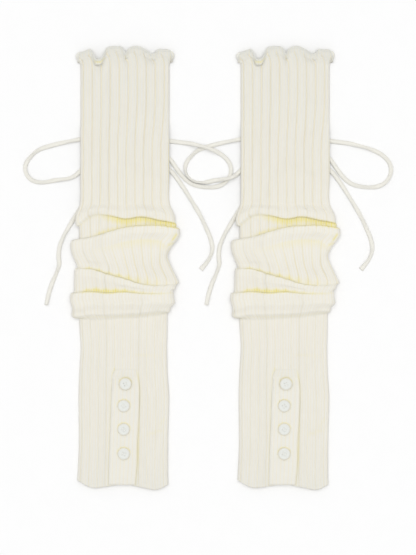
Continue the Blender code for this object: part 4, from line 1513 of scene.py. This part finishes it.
def add_leg_warmer_cloth(finish, threads, edge_threads):
    """Both tubes with their fluted edges, plackets and stitching."""
    points, marks, along, ribs, outer_rows = tube_grid()
    outer = points[:outer_rows]
    rings, places = placket_rings()
    crease = marks["crease"][:outer_rows]
    # Painted crease shade where the cloth's own folds and the placket band shelter it.
    np.maximum(crease, sheltered_crease_shade(outer, rings), out=crease)
    wales = np.append(ribs, RIBS_ROUND) * WALES_IN_RIB
    # The band's marks: painted shade down its right side and round its buttons, and a middling grey.
    band_marks = {
        "groove": np.zeros(rings.shape[:2]),
        "crease": painted_band_shade(rings),
        "pulled": np.full(rings.shape[:2], BAND_GREYING),
    }
    band_wales = run_along(np.concatenate([rings[0], rings[0][:1]])) / PLACKET_WALE
    stitches, seam = edge_paths(outer), placket_stitches()
    for side, offset in SIDES.items():
        cloth = grid_mesh(f"{side}_rib_knit_tube", points + [offset, 0, 0], "joined",
                          marks=marks, uv=(along / COURSE, wales))
        piece(cloth, [f"{side}_tube"], finish)
        band = grid_mesh(f"{side}_placket_band", rings + [offset, 0, 0], "capped",
                         marks=band_marks, uv=(-places / COURSE, band_wales))
        piece(band, [f"{side}_placket"], finish)
        edge = thread_tubes(f"{side}_edge_stitches", stitches, EDGE_THREAD, offset)
        piece(edge, (), edge_threads)
        curls = edge_curls(side, offset, finish)
        sewn = thread_tubes(f"{side}_placket_stitches", seam, SEAM_THREAD, offset)
        piece(sewn, (), threads)


def edge_curls(side, offset, finish):
    """The rolled edge's own curls where it turns round the sides."""
    made = []
    for name, route in EDGE_CURLS.items():
        route = np.array(route)
        run = np.linspace(0, len(route) - 1, CURL_RINGS)
        whole = np.arange(len(route))
        x, y, z, radius = (curve_at(whole, route[:, k], run) for k in range(4))
        rings = tube_rings(np.column_stack([x + offset, y, z]), radius, CURL_SIDES)
        plain = np.zeros(rings.shape[:2])
        # The curls have no groove or crease shade, and the knit's greyest colour.
        marks = {"groove": plain, "crease": plain, "pulled": plain + 1.0}
        uv = (run * CURL_COURSES, np.linspace(0, CURL_WALES, CURL_SIDES + 1))
        curl = grid_mesh(f"{side}_edge_curl_{name}", rings, "capped", marks=marks, uv=uv)
        piece(curl, (), finish)
        made.append(curl)
    return made


def tube_rings(path, radii, sides):
    """Rings of points square to a path."""
    along = np.gradient(path, axis=0)
    along /= np.maximum(np.linalg.norm(along, axis=1, keepdims=True), 1e-9)
    rough = np.where(np.abs(along[:, 2:3]) > 0.9, [[1.0, 0.0, 0.0]], [[0.0, 0.0, 1.0]])
    across = np.cross(along, rough)
    across /= np.maximum(np.linalg.norm(across, axis=1, keepdims=True), 1e-9)
    up = np.cross(across, along)
    turns = round_turns(sides)
    return path[:, None] + np.broadcast_to(radii, len(path))[:, None, None] * (
        np.cos(turns)[None, :, None] * across[:, None] + np.sin(turns)[None, :, None] * up[:, None]
    )


def placket_stitches():
    """Straight stitches beside the band's sewn edge."""
    z = FLAT_TOP + GAP + PLACKET_THICKNESS - SEAM_SUNK + np.array([0.0, SEAM_RISE, SEAM_RISE, 0.0])
    paths = []
    for start in np.arange(PLACKET[0][0] - SEAM_ENDS[0], PLACKET[-1][0] + SEAM_ENDS[1], -SEAM_STITCH):
        line = start - np.linspace(0, SEAM_STITCH * SEAM_SHOWN, len(z))
        paths.append(np.column_stack([placket_edges(line)[0] + SEAM_INSET, line, z]))
    return paths


def add_buttons(finish, threads):
    """The buttons, each sewn on by two threads through its four holes."""
    shape = button_mesh("pearl_button")
    base = FLAT_TOP + GAP + PLACKET_THICKNESS + GAP
    for side, offset in SIDES.items():
        sewing = []
        for number, (x, y) in enumerate(BUTTONS, 1):
            turn = math.radians(BUTTON_TURN * number)
            made = linked(f"{side}_pearl_button_{number}", shape.copy())
            made.location = Vector((offset + x, y, base)) * MM
            made.scale = (BUTTON_SPREAD, BUTTON_SPREAD, 1.0)
            made.rotation_euler.z = turn
            piece(made, [f"{side}_button_{number}"], finish)
            share, rise = table_columns(BUTTON_THREAD)
            for b in (-HOLE_OFF, HOLE_OFF):
                a = share * HOLE_OFF
                sewing.append(np.column_stack([
                    x + a * math.cos(turn) - b * math.sin(turn),
                    y + a * math.sin(turn) + b * math.cos(turn),
                    base + rise]))
        made = thread_tubes(f"{side}_button_threads", sewing, BUTTON_THREAD_RADIUS, offset)
        piece(made, (), threads)


def add_knots(finish):
    """The pulled-tight middle of each bow: a band of tape wrapped over its gathered loops."""
    length, width, height = (size / 2 * fill for size, fill in zip(KNOT_SIZE, KNOT_FILL))
    along = np.linspace(-1, 1, KNOT_RINGS)[:, None]
    turns = round_turns(KNOT_SIDES)
    rounded = np.sqrt(np.maximum(1 - np.abs(along) ** KNOT_ROUNDING, KNOT_END))
    pinch = between(KNOT_WAIST, 1.0, np.abs(along)) * rounded
    ridge = 1 + KNOT_RIDGE * np.cos(turns * KNOT_WALES + along * KNOT_SLANT)
    rings = np.stack(np.broadcast_arrays(
        KNOT_CENTRE[0] + along * length,
        KNOT_CENTRE[1] - np.cos(turns) * width * pinch * ridge,
        KNOT_SIZE[2] / 2 + np.sin(turns) * height * pinch), -1)
    uv = [np.arange(count) * KNOT_STITCH for count in (KNOT_RINGS, KNOT_SIDES + 1)]
    for side, offset in SIDES.items():
        made = grid_mesh(f"{side}_bow_middle", rings + [offset, 0, 0], "capped", uv=uv)
        piece(made, [f"{side}_bow_knot"], finish)


def main():
    add_camera_and_light()
    add_floor()
    tape = add_ties()
    cloth, pearl = knit_finish(), pearl_finish()
    threads = thread_finish("sewing_thread", THREAD_COLOUR, THREAD_SHADE)
    edge_threads = thread_finish("edge_thread", EDGE_THREAD_COLOUR, EDGE_THREAD_SHADE)
    add_leg_warmer_cloth(cloth, threads, edge_threads)
    add_buttons(pearl, threads)
    add_knots(tape)


main()
